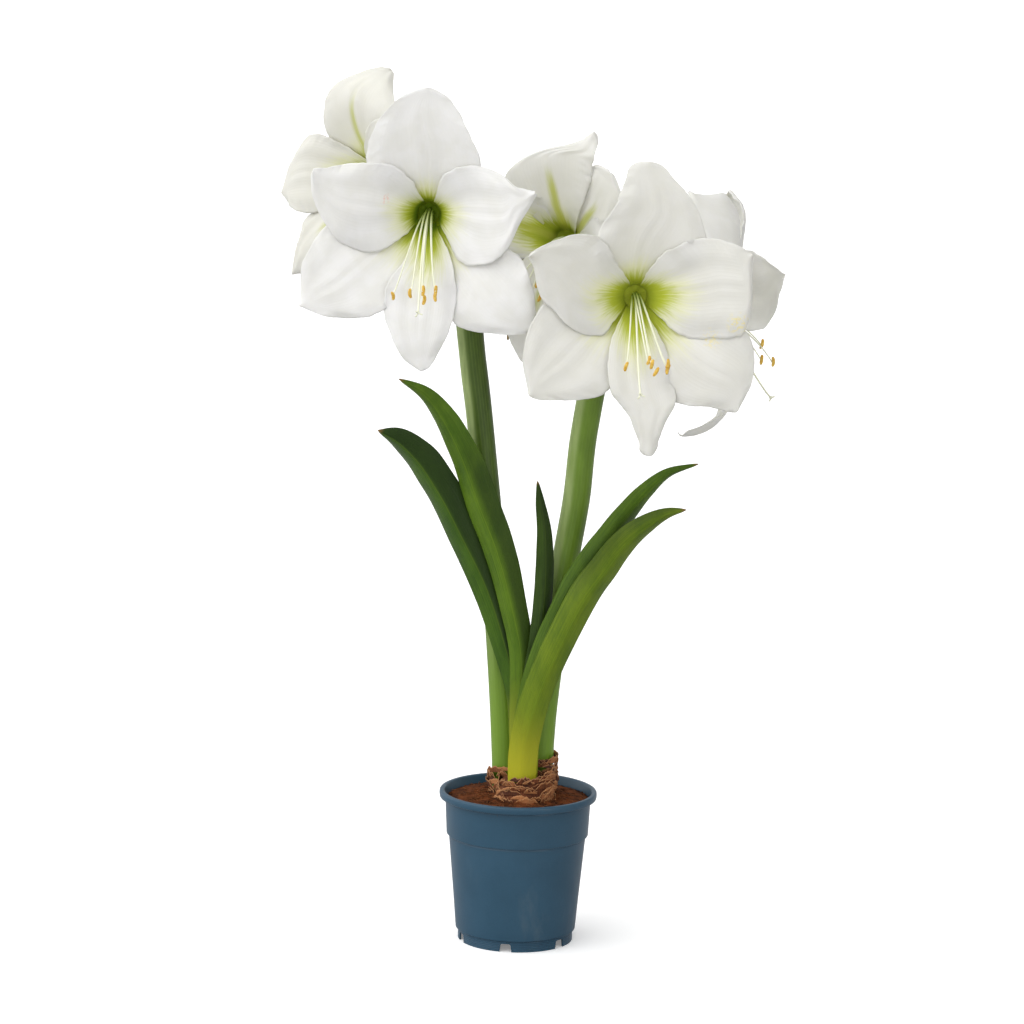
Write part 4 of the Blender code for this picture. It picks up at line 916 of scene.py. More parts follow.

# Blooms. A tepal is its bearing clockwise from the top, flare, curl in degrees and whorl. Its edges
# are rows of the way from the tube's foot in mm and the bearings of both margins in degrees. A
# simple tepal, hidden behind others, has a length and half width instead. A hook turns a tip back.
# Green is how far the throat's colour reaches up, right, down and left. Depth says how deep that green
# is, tone how much painted shade, with a little cream, lies on the bloom, and the plug is where the
# throat closes.
bloomSizes = {
    "a": {
        "foot": (-0.073, -0.035, 0.56), "axis": (-0.085, -0.99, -0.055),
        "rib": 0.55, "ribStrength": 0.3,
        "tepals": (
            (1, 1.0, 10, -1), (77, 1.0, 0, 1), (132, 1.0, 10, -1),
            (178, 1.0, 10, 1), (239, 1.0, 10, -1), (285, 1.0, 0, 1)),
        "edges": {
            0: ((30, -60, 62), (50, -62, 64), (70, -56, 60), (85, -45, 46), (95, -35, 32),
                (105, -26, 22), (113, -17, 16), (119, -10, 11.5), (122.5, -5, 7), (124.5, 0, 3)),
            1: ((30, 25, 125), (42, 24, 130), (52, 21, 136), (63, 24, 139), (72, 31, 135),
                (80, 40, 127), (88, 50, 117), (92.5, 55, 107), (96, 59, 93), (101, 67, 86),
                (104.5, 69, 83), (110, 71.5, 78), (114.5, 73, 74.5)),
            2: ((30, 85, 180), (45, 88, 180), (60, 94, 178), (80, 102, 172), (93, 107, 167),
                (101, 109, 164), (108, 112, 161), (113, 115, 157), (119, 118.5, 152),
                (125, 122, 147), (132, 126.5, 142), (138, 130, 137.5), (142, 132.5, 134)),
            3: ((30, 140, 216), (45, 141, 206), (55, 142.5, 203), (65, 146, 206), (72, 149, 209),
                (84, 154, 208), (95, 158, 204), (105, 163, 200), (115, 168, 194), (125, 172.5, 189),
                (132, 175, 186), (136, 177.5, 182), (137, 179, 180)),
            4: ((30, 190, 290), (45, 190, 288), (60, 192, 283), (80, 195, 275), (90, 198, 270),
                (100, 203, 263), (109, 209, 257), (118, 216, 251.5), (126, 222, 245.5),
                (131, 227, 240.5), (135, 230.5, 237), (138.5, 233.5, 235)),
            5: ((30, 230, 345), (42, 227, 342), (52, 229, 342), (64, 232, 335), (74, 238, 328),
                (82, 246, 319), (91, 256, 310), (97.5, 266, 304), (105, 276, 299), (110.5, 284, 297),
                (113.5, 290, 296), (115, 292.5, 295)),
        },
        "green": (0.038, 0.042, 0.062, 0.042), "depth": 1.0, "tone": 0.0, "ribWidth": 0.003,
        "plug": 0.016,
        "anthers": (
            (-0.0188, -0.0515, 0.084), (-0.0051, -0.0489, 0.085), (0.0035, -0.0465, 0.087),
            (0.0036, -0.0537, 0.083), (0.0129, -0.0462, 0.086), (0.0129, -0.0512, 0.082)),
        "style": (0.002, -0.06, 0.1), "lean": 0.05,
    },
    "b": {
        "foot": (0.077, -0.05, 0.5035), "axis": (-0.01, -0.99, -0.02),
        "rib": 0.6, "ribStrength": 0.35,
        "tepals": (
            (2, 1.0, 10, -1), (62, 1.0, 0, 1), (135, 1.0, 10, -1),
            (175, 1.0, 10, 1), (236, 1.0, 10, -1), (297, 1.0, 0, 1)),
        "edges": {
            0: ((30, -60, 62), (50, -56, 64), (70, -44, 60), (84, -29, 55), (93, -18.5, 49),
                (101, -12, 39), (108.5, -9, 31), (115, -7, 23.5), (121, -5.7, 15.5), (126, -4.5, 12),
                (129, -3, 9.5), (130.5, 0, 7)),
            1: ((30, 20, 124), (48, 21, 124), (57, 24, 127), (66, 28, 126), (76, 33, 121),
                (89, 40, 113), (102, 49.5, 108), (108, 54.5, 105.5), (110, 56, 98), (111.5, 57, 80),
                (115.5, 60.5, 70.5), (118, 63.5, 67), (119, 64.5, 65.5)),
            2: ((30, 88, 180), (45, 90, 178), (60, 92, 176), (80, 96, 170), (95, 99, 163),
                (106, 102, 156), (113, 105, 150), (120, 111, 143.5), (127, 118.5, 140.5),
                (131, 124, 139), (134, 130.5, 138), (136, 134, 137)),
            3: ((30, 142, 220), (53, 144, 213), (68.5, 146, 207), (79.5, 151, 202), (89.5, 153, 197),
                (95.5, 154, 194), (101, 155, 188), (107.5, 158, 183), (113, 163, 181),
                (121.5, 167, 178.8), (129.5, 169.5, 177), (134, 170, 177.5), (138, 171.4, 175.8)),
            4: ((30, 190, 290), (60, 190, 283), (80, 192, 275), (94.5, 196, 267), (100, 200, 262.5),
                (107, 207, 255), (114.5, 214, 247), (120, 218.5, 242), (125, 222, 234.5),
                (128, 224, 231), (130, 226.5, 229)),
            5: ((30, 226, 338), (45, 224, 334), (57.5, 221, 332), (65.5, 230, 332), (74.5, 242, 332),
                (81.5, 254, 329), (86, 264, 326), (94.5, 270, 318), (100, 278, 310.5),
                (102, 283, 308), (106, 288.5, 303.5), (110, 291, 299.5), (113.5, 292.5, 294)),
        },
        "green": (0.04, 0.056, 0.06, 0.05), "depth": 0.08, "tone": 0.42, "ribWidth": 0.003,
        "plug": 0.019,
        "anthers": (
            (-0.006, -0.043, 0.082), (0.0091, -0.0376, 0.085), (0.012, -0.04, 0.088),
            (0.015, -0.046, 0.083), (0.0225, -0.0395, 0.086), (0.024, -0.0446, 0.081)),
        "style": (0.004, -0.06, 0.1), "lean": 0.3,
    },
    "c": {
        "foot": (0.033, 0.033, 0.529), "axis": (-0.3, -0.9, 0.26),
        "rib": 0.86, "ribStrength": 0.95,
        "tepals": (
            (0, 1.0, 40, 1), (52, 1.0, 40, -1), (122, 1.0, 115, -1),
            (184, 1.0, 35, 1), (235, 1.0, 70, -1), (280, 1.0, 110, 1)),
        "simple": {2: (0.1, 0.032), 3: (0.13, 0.027), 4: (0.095, 0.032), 5: (0.092, 0.028)},
        "edges": {
            0: ((30, -60, 58), (45, -58, 44), (60, -54, 38), (70, -52, 34), (78, -49, 31),
                (83, -47, 29.5), (85.5, -41, 28.5), (87, -26, 28), (89, -8, 27.5), (91, 3, 27),
                (95, 10, 26), (100, 15, 24.5), (103, 17, 23), (106, 19, 21)),
            1: ((30, 20, 112), (45, 20, 98), (60, 22, 87), (68, 24, 76), (74, 26, 70), (80, 27, 64),
                (84, 28, 60), (86.5, 30, 54), (88, 35, 48), (89, 40, 44)),
        },
        "anthers": (
            (-0.02, -0.05, 0.08), (-0.007, -0.047, 0.085), (0.003, -0.044, 0.088),
            (0.004, -0.053, 0.083), (0.013, -0.044, 0.086), (0.017, -0.051, 0.081)),
        "green": (0.034, 0.03, 0.044, 0.056), "depth": 0.5, "tone": 0.32, "ribWidth": 0.0042,
        "plug": 0.018,
        "style": (0.0, -0.06, 0.1), "lean": 0.15,
    },
    "d": {
        "foot": (0.098, 0.032, 0.486), "axis": (0.98, -0.08, 0.0),
        "rib": 0.7, "ribStrength": 0.6,
        "tepals": (
            (312, 0.95, 60, -1), (25, 1.0, 60, 1), (90, 1.05, 60, -1),
            (150, 1.05, 60, 1), (203, 1.05, 52, -1), (262, 0.72, 10, 1)),
        "simple": {1: (0.122, 0.032), 2: (0.128, 0.034)},
        "edges": {
            0: ((30, -95, 20), (45, -95, 24), (60, -90, 24), (75, -80, 20), (90, -68, 12),
                (105, -62, 2), (118, -59, -10), (130, -57, -18), (137, -55, -22), (142, -49, -25),
                (146, -43, -26), (150, -36, -27), (154, -30, -28)),
            3: ((30, 110, 190), (60, 115, 185), (80, 120, 180), (95, 128, 172), (105, 138, 162),
                (110, 148, 152)),
            4: ((30, 150, 260), (60, 160, 245), (90, 166, 228), (110, 172, 226), (125, 176, 234),
                (134, 180, 242), (142, 188, 240), (148, 197, 228), (151, 205, 216)),
            5: ((30, 200, 350), (45, 222, 345), (60, 240, 335), (76, 253, 329), (86, 255, 324),
                (93, 258, 319), (97.5, 268, 314), (109, 286, 306), (118, 291, 298), (121.5, 293, 295)),
        },
        "hook": {5: (0.075, -50)},
        "anthers": (
            (-0.016, -0.05, 0.056), (-0.006, -0.0267, 0.078), (0.004, -0.04, 0.0785),
            (0.016, -0.035, 0.055), (-0.012, -0.0393, 0.087), (0.01, -0.048, 0.058)),
        "green": (0.044, 0.044, 0.056, 0.044), "depth": 0.6, "tone": 0.25, "ribWidth": 0.0034,
        "plug": 0.004,
        "style": (0.0, -0.0675, 0.086), "lean": 0.0,
    },
    "e": {
        "foot": (-0.09, 0.032, 0.574), "axis": (-0.76, -0.64, 0.05),
        "rib": 0.8, "ribStrength": 0.75,
        "tepals": (
            (-4, 0.93, 80, -1), (58, 1.0, 85, 1), (140, 1.0, 80, -1),
            (184, 1.0, 55, 1), (224, 1.0, 24, -1), (268, 1.0, 46, 1)),
        "simple": {1: (0.104, 0.029), 2: (0.112, 0.031), 3: (0.122, 0.026)},
        "edges": {
            0: ((30, -60, 45), (50, -58, 45), (62, -52, 43), (75, -45, 41), (85, -40, 39),
                (95, -34, 38), (101, -27, 36), (106, -16, 31), (112, -5, 25), (119, 3, 20),
                (126, 7, 16), (132, 8, 13.5), (139, 9, 12.5), (146, 9.5, 11.5)),
            4: ((30, 190, 290), (45, 190, 256), (60, 196, 249), (80, 202, 241), (95, 208, 235),
                (108, 212, 229), (118, 215, 225), (124, 218, 222), (127, 220, 221)),
            5: ((30, 228, 345), (45, 228, 335), (60, 231, 322), (70, 235, 316), (80, 239, 309),
                (88, 243, 300), (94, 247, 290), (100, 252, 276), (104, 255, 266), (106, 257, 262)),
        },
        "hook": {0: (0.124, 110)},
        "anthers": (
            (0.0, -0.046, 0.074), (0.008, -0.043, 0.077), (0.016, -0.041, 0.078),
            (0.012, -0.05, 0.075), (0.024, -0.043, 0.077), (0.028, -0.048, 0.074)),
        "green": (0.044, 0.044, 0.056, 0.05), "depth": 0.4, "tone": 0.6, "ribWidth": 0.0042,
        "plug": 0.006,
        "style": (0.02, -0.055, 0.085), "lean": 0.15,
    },
}


def bloomFrame(key):
    # Foot of the tube, and the bloom's right, up and outward directions.
    out = unit(bloomSizes[key]["axis"])
    up = unit(np.array((0.0, 0.0, 1.0)) - out * out[2])
    return np.array(bloomSizes[key]["foot"]), np.cross(up, out), up, out


def inPlace(local, bloom):
    foot, right, up, out = bloom
    return foot + local[..., :1] * right + local[..., 1:2] * up + local[..., 2:3] * out


def stemGreen(name, dark, light):
    material, tree, surface, place = newMaterial(name, IOR=1.42, Specular_IOR_Level=0.45)
    height = axes(tree, place)[2]
    lines = veined(tree, surface, 26.0, 1.0, 20.0)
    patch = noise(tree, stretched(tree, place, 1.0, 1.0, 0.3), 60.0, 4.0, 0.6)
    waxAndSheen = noise(tree, stretched(tree, place, 1.0, 1.0, 0.15), 120.0, 4.0, 0.6)
    waxAndSheen = times(tree, fade(tree, waxAndSheen, 0.25, 0.75, 0.45, 1.0), fade(tree, height, 0.16, 0.36, 0.25, 1.0))
    # Painted sheen: the wax is painted paler on the side that faces the light.
    waxAndSheen = times(tree, waxAndSheen, fade(tree, mark(tree, "pale"), 0.0, 1.0, 0.05, 0.95))
    base = layered(
        tree, colour(*dark),
        (fade(tree, patch, 0.32, 0.68), light),
        (times(tree, lines["Lines"], 0.15), stemSizes["veinGreen"]),
        (waxAndSheen, stemSizes["waxAndSheen"]),
        (fade(tree, height, 0.3, 0.14, 0.0, 0.85), stemSizes["footGreen"]),
    )
    height = plus(tree, lines["Lines"], patch)
    dress(tree, base, fade(tree, waxAndSheen, 0.0, 0.4, 0.4, 0.55), height, 0.25, 0.0002)
    return material


def makeStem(side, sizes, material):
    rows = smoothCurve(sizes[side], sizes["rows"])
    rows[:, 3] *= 1 + sizes["wobble"] * waves(80, rows[:, 2] * 60)
    # The top is domed.
    end, way = rows[-1], unit(rows[-1, :3] - rows[-2, :3])
    cap = [np.append(end[:3] + way * sizes["domeHeight"] * part, end[3] * math.sqrt(1 - part**2))
           for part in np.linspace(*sizes["dome"])]
    rows = np.concatenate([rows, cap])
    parts = [rod(rows[:, :3], rows[:, 3], sizes["sides"])]
    top = np.array(sizes[side][-2][:3]) + (0, 0, -0.002)
    for key in sizes["blooms"][side]:
        foot, _, _, out = bloomFrame(key)
        start = foot - out * sizes["gap"] - out * sizes["ovaryLength"]
        reach = np.linalg.norm(start - top)
        bend = (top, top + (0, 0, reach * 0.4), start - out * reach * 0.35, start)
        path = bezier(bend, sizes["stalkSteps"])
        radii = sizes["pedicel"] * np.linspace(1.25, 1.0, sizes["stalkSteps"]) ** 1.5
        parts.append(rod(path, radii, 24))
        part = np.linspace(sizes["ovaryAt"][0], 1, sizes["ovarySteps"])
        radii = np.interp(part, sizes["ovaryAt"], sizes["ovarySwell"]) * sizes["ovaryRadius"]
        line = start + np.outer(part * sizes["ovaryLength"], out)
        parts.append(rod(line, radii, 36, lobes=3, lobeDepth=sizes["ovaryLobe"]))
    stem = makePiece("scape_%s_stalk" % side, joined(parts), material)
    # The side towards the window gets a painted sheen: the wax is painted paler there.
    normals = np.empty(3 * len(stem.data.vertices), np.float32)
    stem.data.vertices.foreach_get("normal", normals)
    toward = normals.reshape(-1, 3) @ unit(sizes["sheenWay"])
    addAttribute(stem, "pale", smoothStep(toward, *sizes["sheenEdges"]))
    settle(stem, "stem_green", "scape_" + side)


for side, name in (("left", "stemGreenPaintedShade"), ("right", "stemGreen")):
    makeStem(side, stemSizes, stemGreen(name, *stemSizes["greens"][side]))
print("stems made")


# Withered bracts under each umbel: bearings and lengths on a sleeve round the stem.
bractSizes = {
    "width": 0.02, "thickness": 0.0005, "rows": 44, "columns": 23, "crinkle": 0.0007, "rib": 0.0004,
    "lift": 0.0015, "spread": 0.019, "taper": (0.8, 0.8, -1.52), "top": (0.003, 0.006),
    "sleeveHeight": 0.006, "sleeveThickness": 0.0006, "sleeveGap": 0.0009, "sleeveSwell": 0.0007,
    "left": ((75, 0.052), (255, 0.044)), "right": ((110, 0.046), (290, 0.054)),
    "tan": ((148, 118, 74), (208, 186, 142)), "vein": (116, 84, 50),
}


def bractTan():
    material, tree, surface, place = newMaterial("bractTan", Roughness=0.82, Specular_IOR_Level=0.25)
    lines = veined(tree, surface, 9.0, 0.9, 3.0)
    tone = mottled(tree, place, 70.0, 600.0, *bractSizes["tan"])
    base = layered(tree, tone["Colour"], (times(tree, lines["Lines"], 0.45), bractSizes["vein"]))
    dress(tree, base, None, plus(tree, lines["Lines"], tone["Height"]), 0.6, 0.0003)
    return material


def makeBracts(side, sizes, material):
    low, high = np.array(stemSizes[side][-3:-1])[:, :3]
    radius = stemSizes[side][-2][3]
    out = unit(high - low)
    right = unit(np.cross((0.0, 1.0, 0.0), out))
    place = (low + (high - low) * 0.5, right, np.cross(out, right), out)

    def sheet(reach, turn, height, thickness, uv):
        grid = stacked(reach * np.sin(turn), reach * np.cos(turn), height)
        return blade(inPlace(grid, place), thickness, uv)

    turn = np.linspace(0, 2 * math.pi, 73)
    level = np.linspace(0, 1, 9)[:, None]
    reach = radius + sizes["sleeveGap"] + sizes["sleeveSwell"] * np.sin(math.pi * level)
    parts = [sheet(reach + 0.00012 * np.sin(17 * turn), turn, sizes["sleeveHeight"] * level,
                   sizes["sleeveThickness"], stacked(turn / 2, level * 0.1))]
    part = np.linspace(0, 1, sizes["rows"])[:, None]
    u = np.linspace(-1, 1, sizes["columns"])[None, :]
    (wide, swell, narrow), (rise, slope) = sizes["taper"], sizes["top"]
    for count, (bearing, length) in enumerate(sizes[side]):
        seed = 90 + 10 * count + len(side)
        half = sizes["width"] / 2 * (wide + swell * part + narrow * part**2)
        half = half * (1 + 0.05 * waves(seed, 9 * part))
        turn = np.radians(bearing) + u * half / radius * (1 - 0.75 * part)
        turn = turn + 0.1 * waves(seed + 1, 5 * part) * part
        reach = radius + sizes["lift"] + sizes["spread"] * np.sin(1.9 * part)
        reach = reach + sizes["crinkle"] * waves(seed + 2, 7 * part, 2.2 * u) * smoothStep(part, 0.1, 0.4)
        reach = reach + sizes["rib"] * np.cos(4 * math.pi * u) * smoothStep(part, 0.15, 0.4)
        drop = rise + slope * part - length * part**2
        parts.append(sheet(reach, turn, drop, sizes["thickness"], stacked(u * 0.5 + 0.5, part)))
    bracts = makePiece("spathe_%s_bracts" % side, joined(parts), material)
    settle(bracts, "bract_tan", "spathe_" + side)


withered = bractTan()
for side in ("left", "right"):
    makeBracts(side, bractSizes, withered)
print("bracts made")


# The wall of every bloom: its slope against the axis by the way along it from the tube's foot.
wallSizes = {
    "way": (0.0, 0.02, 0.035, 0.05, 0.08, 0.11, 0.13, 0.16),
    "slope": (6, 10, 35, 55, 68, 78, 92, 112),
    "curlFrom": 0.068, "curlOver": 0.065, "hookOver": 0.016, "tubeRadius": 0.0062, "tubeWay": 0.027,
    "tubeHalfWall": 0.0014, "tubeSteps": 48, "start": 0.006, "whorlOffset": 0.0017,
    "rows": 84, "columns": 37, "thickness": 0.001, "edgeThickness": 0.0004, "ragged": 0.02,
    "ruffle": 0.00143, "ruffleLength": (0.034, 0.046), "crinkle": 0.0006, "pleat": 0.0005,
    "groove": 0.0009, "grooveWidth": 0.0028, "roll": 0.0016, "arch": 0.0022, "tipLift": 0.0015,
    "oval": (1.15, 0.66), "free": (0.38, 0.72), "creased": (0.3, 0.5), "tipFrom": 0.92,
    "deepFrom": 0.02, "deepOver": 0.014, "deepBelow": 0.016,
    "throatFrom": 0.0019, "throatGap": 0.0011, "throatDepth": 0.005, "throatFold": 0.0006,
    "throatSteps": 36, "throatRings": (0.85, 0.68, 0.5, 0.34, 0.2, 0.08),
    "white": (226, 225, 220), "cloud": (231, 230, 227), "veinGrey": (214, 213, 203),
    "paintedShadeGrey": (202, 200, 186), "cream": (226, 226, 206), "ribGreen": (178, 184, 74),
    "throatGreens": ((220, 222, 140), (176, 186, 44), (128, 146, 18), (96, 122, 22)),
    # A faint blush on bloom a and pollen fallen on bloom b: place, radius, colour and strength
    "spots": (
        ((-0.1065, -0.083, 0.5715), 0.006, (236, 168, 150), 0.5),
        ((0.15, -0.117, 0.4895), 0.011, (238, 220, 116), 0.6),
        ((0.131, -0.1125, 0.478), 0.01, (238, 220, 116), 0.5),
    ),
}


def between(bearing, tepals, column):
    # A number of the tepals, passing smoothly from one to the next round the bloom.
    rows = np.array(sorted(tepals), float)
    bearings = np.radians(rows[:, 0])
    bearings = np.concatenate([bearings[-1:] - 2 * math.pi, bearings, bearings[:1] + 2 * math.pi])
    values = np.concatenate([rows[-1:, column], rows[:, column], rows[:1, column]])
    bearing = np.mod(bearing - bearings[1], 2 * math.pi) + bearings[1]
    at = np.clip(np.searchsorted(bearings, bearing, "right") - 1, 0, len(bearings) - 2)
    part = (bearing - bearings[at]) / (bearings[at + 1] - bearings[at])
    return values[at] + (values[at + 1] - values[at]) * smoothStep(part)


def wallAt(way, flare=1.0, curl=0.0, hook=(0.2, 0)):
    # Radius and height of the wall at this way along it. A hook turns the last part further back.
    sizes, ways = wallSizes, np.linspace(0, 0.16, 81)
    flare, curl = (np.broadcast_to(value, way.shape)[..., None] for value in (flare, curl))
    angle = np.interp(ways, sizes["way"], sizes["slope"])
    angle = angle * (1 + (flare - 1) * smoothStep((ways - sizes["tubeWay"]) / 0.02))
    angle = angle + curl * smoothStep((ways - sizes["curlFrom"]) / sizes["curlOver"])
    angle = np.radians(angle + hook[1] * smoothStep((ways - hook[0]) / sizes["hookOver"]))
    step = ways[1] - ways[0]
    radius = sizes["tubeRadius"] + np.cumsum(np.sin(angle), axis=-1) * step
    height = np.cumsum(np.cos(angle), axis=-1) * step
    found = np.clip(way / step, 0, len(ways) - 1.001)
    low = found.astype(int)

    def take(values):
        first = np.take_along_axis(values, low[..., None], -1)[..., 0]
        second = np.take_along_axis(values, low[..., None] + 1, -1)[..., 0]
        return first + (second - first) * (found - low)

    return take(radius), take(height)


def drawnEdges(rows, way):
    # Bearings of a tepal's two margins at each way, in radians, smoothed over their corners.
    rows = np.array(rows, float)
    sides = [np.radians(np.interp(way, rows[:, 0] / 1000, rows[:, column])) for column in (1, 2)]
    for _ in range(3):
        for side in sides:
            side[1:-1] = 0.25 * side[:-2] + 0.5 * side[1:-1] + 0.25 * side[2:]
    return sides


def simpleEdges(halfWidth, bearing, way, part, radius):
    # The same for a plain pointed oval.
    rise, fall = wallSizes["oval"]
    peak = (rise / (rise + fall)) ** rise * (fall / (rise + fall)) ** fall
    half = np.maximum(halfWidth * (part**rise * (1 - part) ** fall) / peak, 0.0005)
    reach = np.minimum(half / np.maximum(radius, half * 0.8), 1.15)
    reach = np.where(way < 0.035, np.maximum(reach, 1.0), reach)
    return math.radians(bearing) - reach, math.radians(bearing) + reach


def makeTepal(key, number, bloom):
    # One tepal as a closed blade, with marks for the green, the rib and the deep throat.
    sizes, flower = wallSizes, bloomSizes[key]
    tepals, edges = flower["tepals"], flower["edges"].get(number)
    bearing, flare, curl, whorl = tepals[number]
    length, halfWidth = (edges[-1][0] / 1000, 0.0) if edges else flower["simple"][number]
    seed = 200 + 20 * "abcde".index(key) + number
    draw = np.random.default_rng(seed)
    along = 1 - (1 - np.linspace(0, 1, sizes["rows"])) ** 1.25
    u = np.linspace(-1, 1, sizes["columns"])[None, :]
    way = sizes["start"] + (length - sizes["start"]) * along
    part = way / length
    radius, _ = wallAt(way, flare, curl)
    left, right = drawnEdges(edges, way) if edges else simpleEdges(halfWidth, bearing, way, part, radius)
    across = u * ((right - left) / 2 * radius)[:, None]
    side = np.where(u > 0, 1.0, -1.0)
    ways, part, edge = way[:, None] + 0 * u, part[:, None], np.abs(u)
    margin = waves(seed, part * 26 + 40 * side) + 0.5 * waves(seed + 11, part * 85 + 90 * side)
    margin = 1 + sizes["ragged"] * margin * edge**3
    turn = (left + right)[:, None] / 2 + (right - left)[:, None] / 2 * u * margin
    hook = flower.get("hook", {}).get(number, (0.2, 0))
    radius, height = wallAt(ways, between(turn, tepals, 1), between(turn, tepals, 2), hook)
    grid = stacked(radius * np.sin(turn), radius * np.cos(turn), height)
    normal = unit(np.cross(np.gradient(grid, axis=0), np.gradient(grid, axis=1)))
    normal *= np.sign(normal[:, :, 2].mean())
    # The normal now points into the bloom, so a positive offset brings the surface forward.
    free = smoothStep(part, *sizes["free"])
    body = smoothStep(part, *sizes["creased"]) * smoothStep(1 - part, 0.02, 0.2)
    phase = draw.uniform(0, 2 * math.pi, 4)
    beat = 2 * math.pi * length / draw.uniform(*sizes["ruffleLength"]) * part
    ruffle = np.sin(beat + phase[0] + 1.7 * side) + 0.4 * np.sin(1.9 * beat + phase[1] - side)
    waver = 0.5 * np.sin(3 * part + phase[2])
    pleats = np.cos(2 * math.pi * (1.35 + 0.3 * draw.uniform()) * u + waver)
    crinkle = waves(seed + 7, part * 60, u * 5) * smoothStep(edge, 0.45, 1.0)
    roll = waves(seed + 3, part * 5, u * 1.3, count=3)
    offset = sum((
        whorl * sizes["whorlOffset"] * (0.42 + 0.58 * smoothStep((ways - sizes["tubeWay"]) / 0.02)),
        sizes["ruffle"] * ruffle * edge**2.6 * free,
        sizes["roll"] * roll * smoothStep(part, 0.35, 0.6),
        sizes["crinkle"] * crinkle * free,
        -sizes["arch"] * u * u * smoothStep(part, 0.42, 0.75),
        sizes["pleat"] * pleats * body,
        -sizes["groove"] * np.exp(-((across / sizes["grooveWidth"]) ** 2)) * body,
        sizes["tipLift"] * smoothStep(part, sizes["tipFrom"], 1.0) * (1 - 0.5 * edge),
    ))
    grid = grid + normal * offset[:, :, None]
    thin = (1 - edge**1.5) * (1 - 0.6 * smoothStep(part, 0.3, 1.0))
    thickness = sizes["edgeThickness"] + (sizes["thickness"] - sizes["edgeThickness"]) * thin
    # The green of the throat reaches a different way up, right, down and left.
    reach = sum(np.maximum(0, np.cos(turn - math.radians(to))) ** 2 * green
                for to, green in zip((0, 90, 180, 270), flower["green"]))
    green = 1 - ways / (reach * (1.12 - 0.3 * edge**1.5))
    core = sizes["deepOver"] + sizes["deepBelow"] * np.maximum(0, -np.cos(turn))
    deep = (1 - smoothStep((ways - sizes["deepFrom"]) / core)) * flower["depth"]
    rib = np.exp(-((across / flower["ribWidth"]) ** 2)) * flower["ribStrength"]
    rib = rib * (1 - smoothStep(part, flower["rib"] * 0.6, flower["rib"]))
    marks = stacked(green, rib, deep).reshape(-1, 3)
    sheet = blade(inPlace(grid, bloom), thickness, stacked(u * 0.5 + 0.5, part))
    return sheet, np.concatenate([marks, marks])


def roundPart(bloom, turn, reach, height, uv, green, deep):
    # Rings round a bloom's axis as one closed part, with its marks.
    rings = stacked(reach * np.sin(turn), reach * np.cos(turn), height)
    faces = [face[::-1] for face in ringFaces(len(rings), len(turn))]
    marks = stacked(green, 0.0, deep + 0 * turn).reshape(-1, 3)
    return (inPlace(rings, bloom).reshape(-1, 3), faces, uv.reshape(-1, 2)), marks


def makeTube(bloom):
    # The short green tube under the tepals, with six shallow grooves.
    sizes = wallSizes
    way = np.linspace(0, sizes["tubeWay"], 15)
    radius, height = wallAt(way)
    wall = sizes["tubeHalfWall"] * (1 - 0.9 * smoothStep(way, 0.016, sizes["tubeWay"]))
    outer = stacked(radius + wall * smoothStep(way, -0.004, 0.004), height)
    outer[0, 1] = 0.0
    inner = stacked(radius - wall, height)[:0:-1]
    low = (sizes["tubeRadius"] - sizes["tubeHalfWall"], 0.0016)
    profile = np.concatenate([outer, inner, [low]])
    turn, height = turns(sizes["tubeSteps"]), profile[:, 1:]
    reach = profile[:, :1] * (1 - 0.04 * np.cos(6 * turn) ** 8)
    green = 0.9 - 0.4 * smoothStep(height, 0.008, 0.026)
    deep = 0.6 * (1 - smoothStep(height, 0.0, 0.022))
    return roundPart(bloom, turn, reach, height, stacked(turn / 6, height * 6), green, deep)


def makeThroat(key, bloom):
    # The tube is closed by a grooved funnel at the plug's height, where the filaments stand.
    sizes, depth = wallSizes, bloomSizes[key]["depth"]
    level = (np.arange(9) / 8) ** 0.7
    inward, turn = np.array(sizes["throatRings"]), turns(sizes["throatSteps"])
    tube, rise = wallAt(sizes["throatFrom"] + bloomSizes[key]["plug"] * level)
    reach = np.concatenate([tube - sizes["throatGap"], tube[-1] * inward])[:, None]
    rise = np.concatenate([rise, rise[-1] - sizes["throatDepth"] * (1 - inward) ** 1.3])[:, None]
    fold = np.concatenate([0 * level, inward])[:, None] * np.cos(6 * turn)
    deep = depth * (1 - 0.4 * reach / tube[-1])
    return roundPart(bloom, turn, reach, rise + sizes["throatFold"] * fold,
                     stacked(turn / 2, 4 * reach), 0.3 + 0.45 * depth, deep)


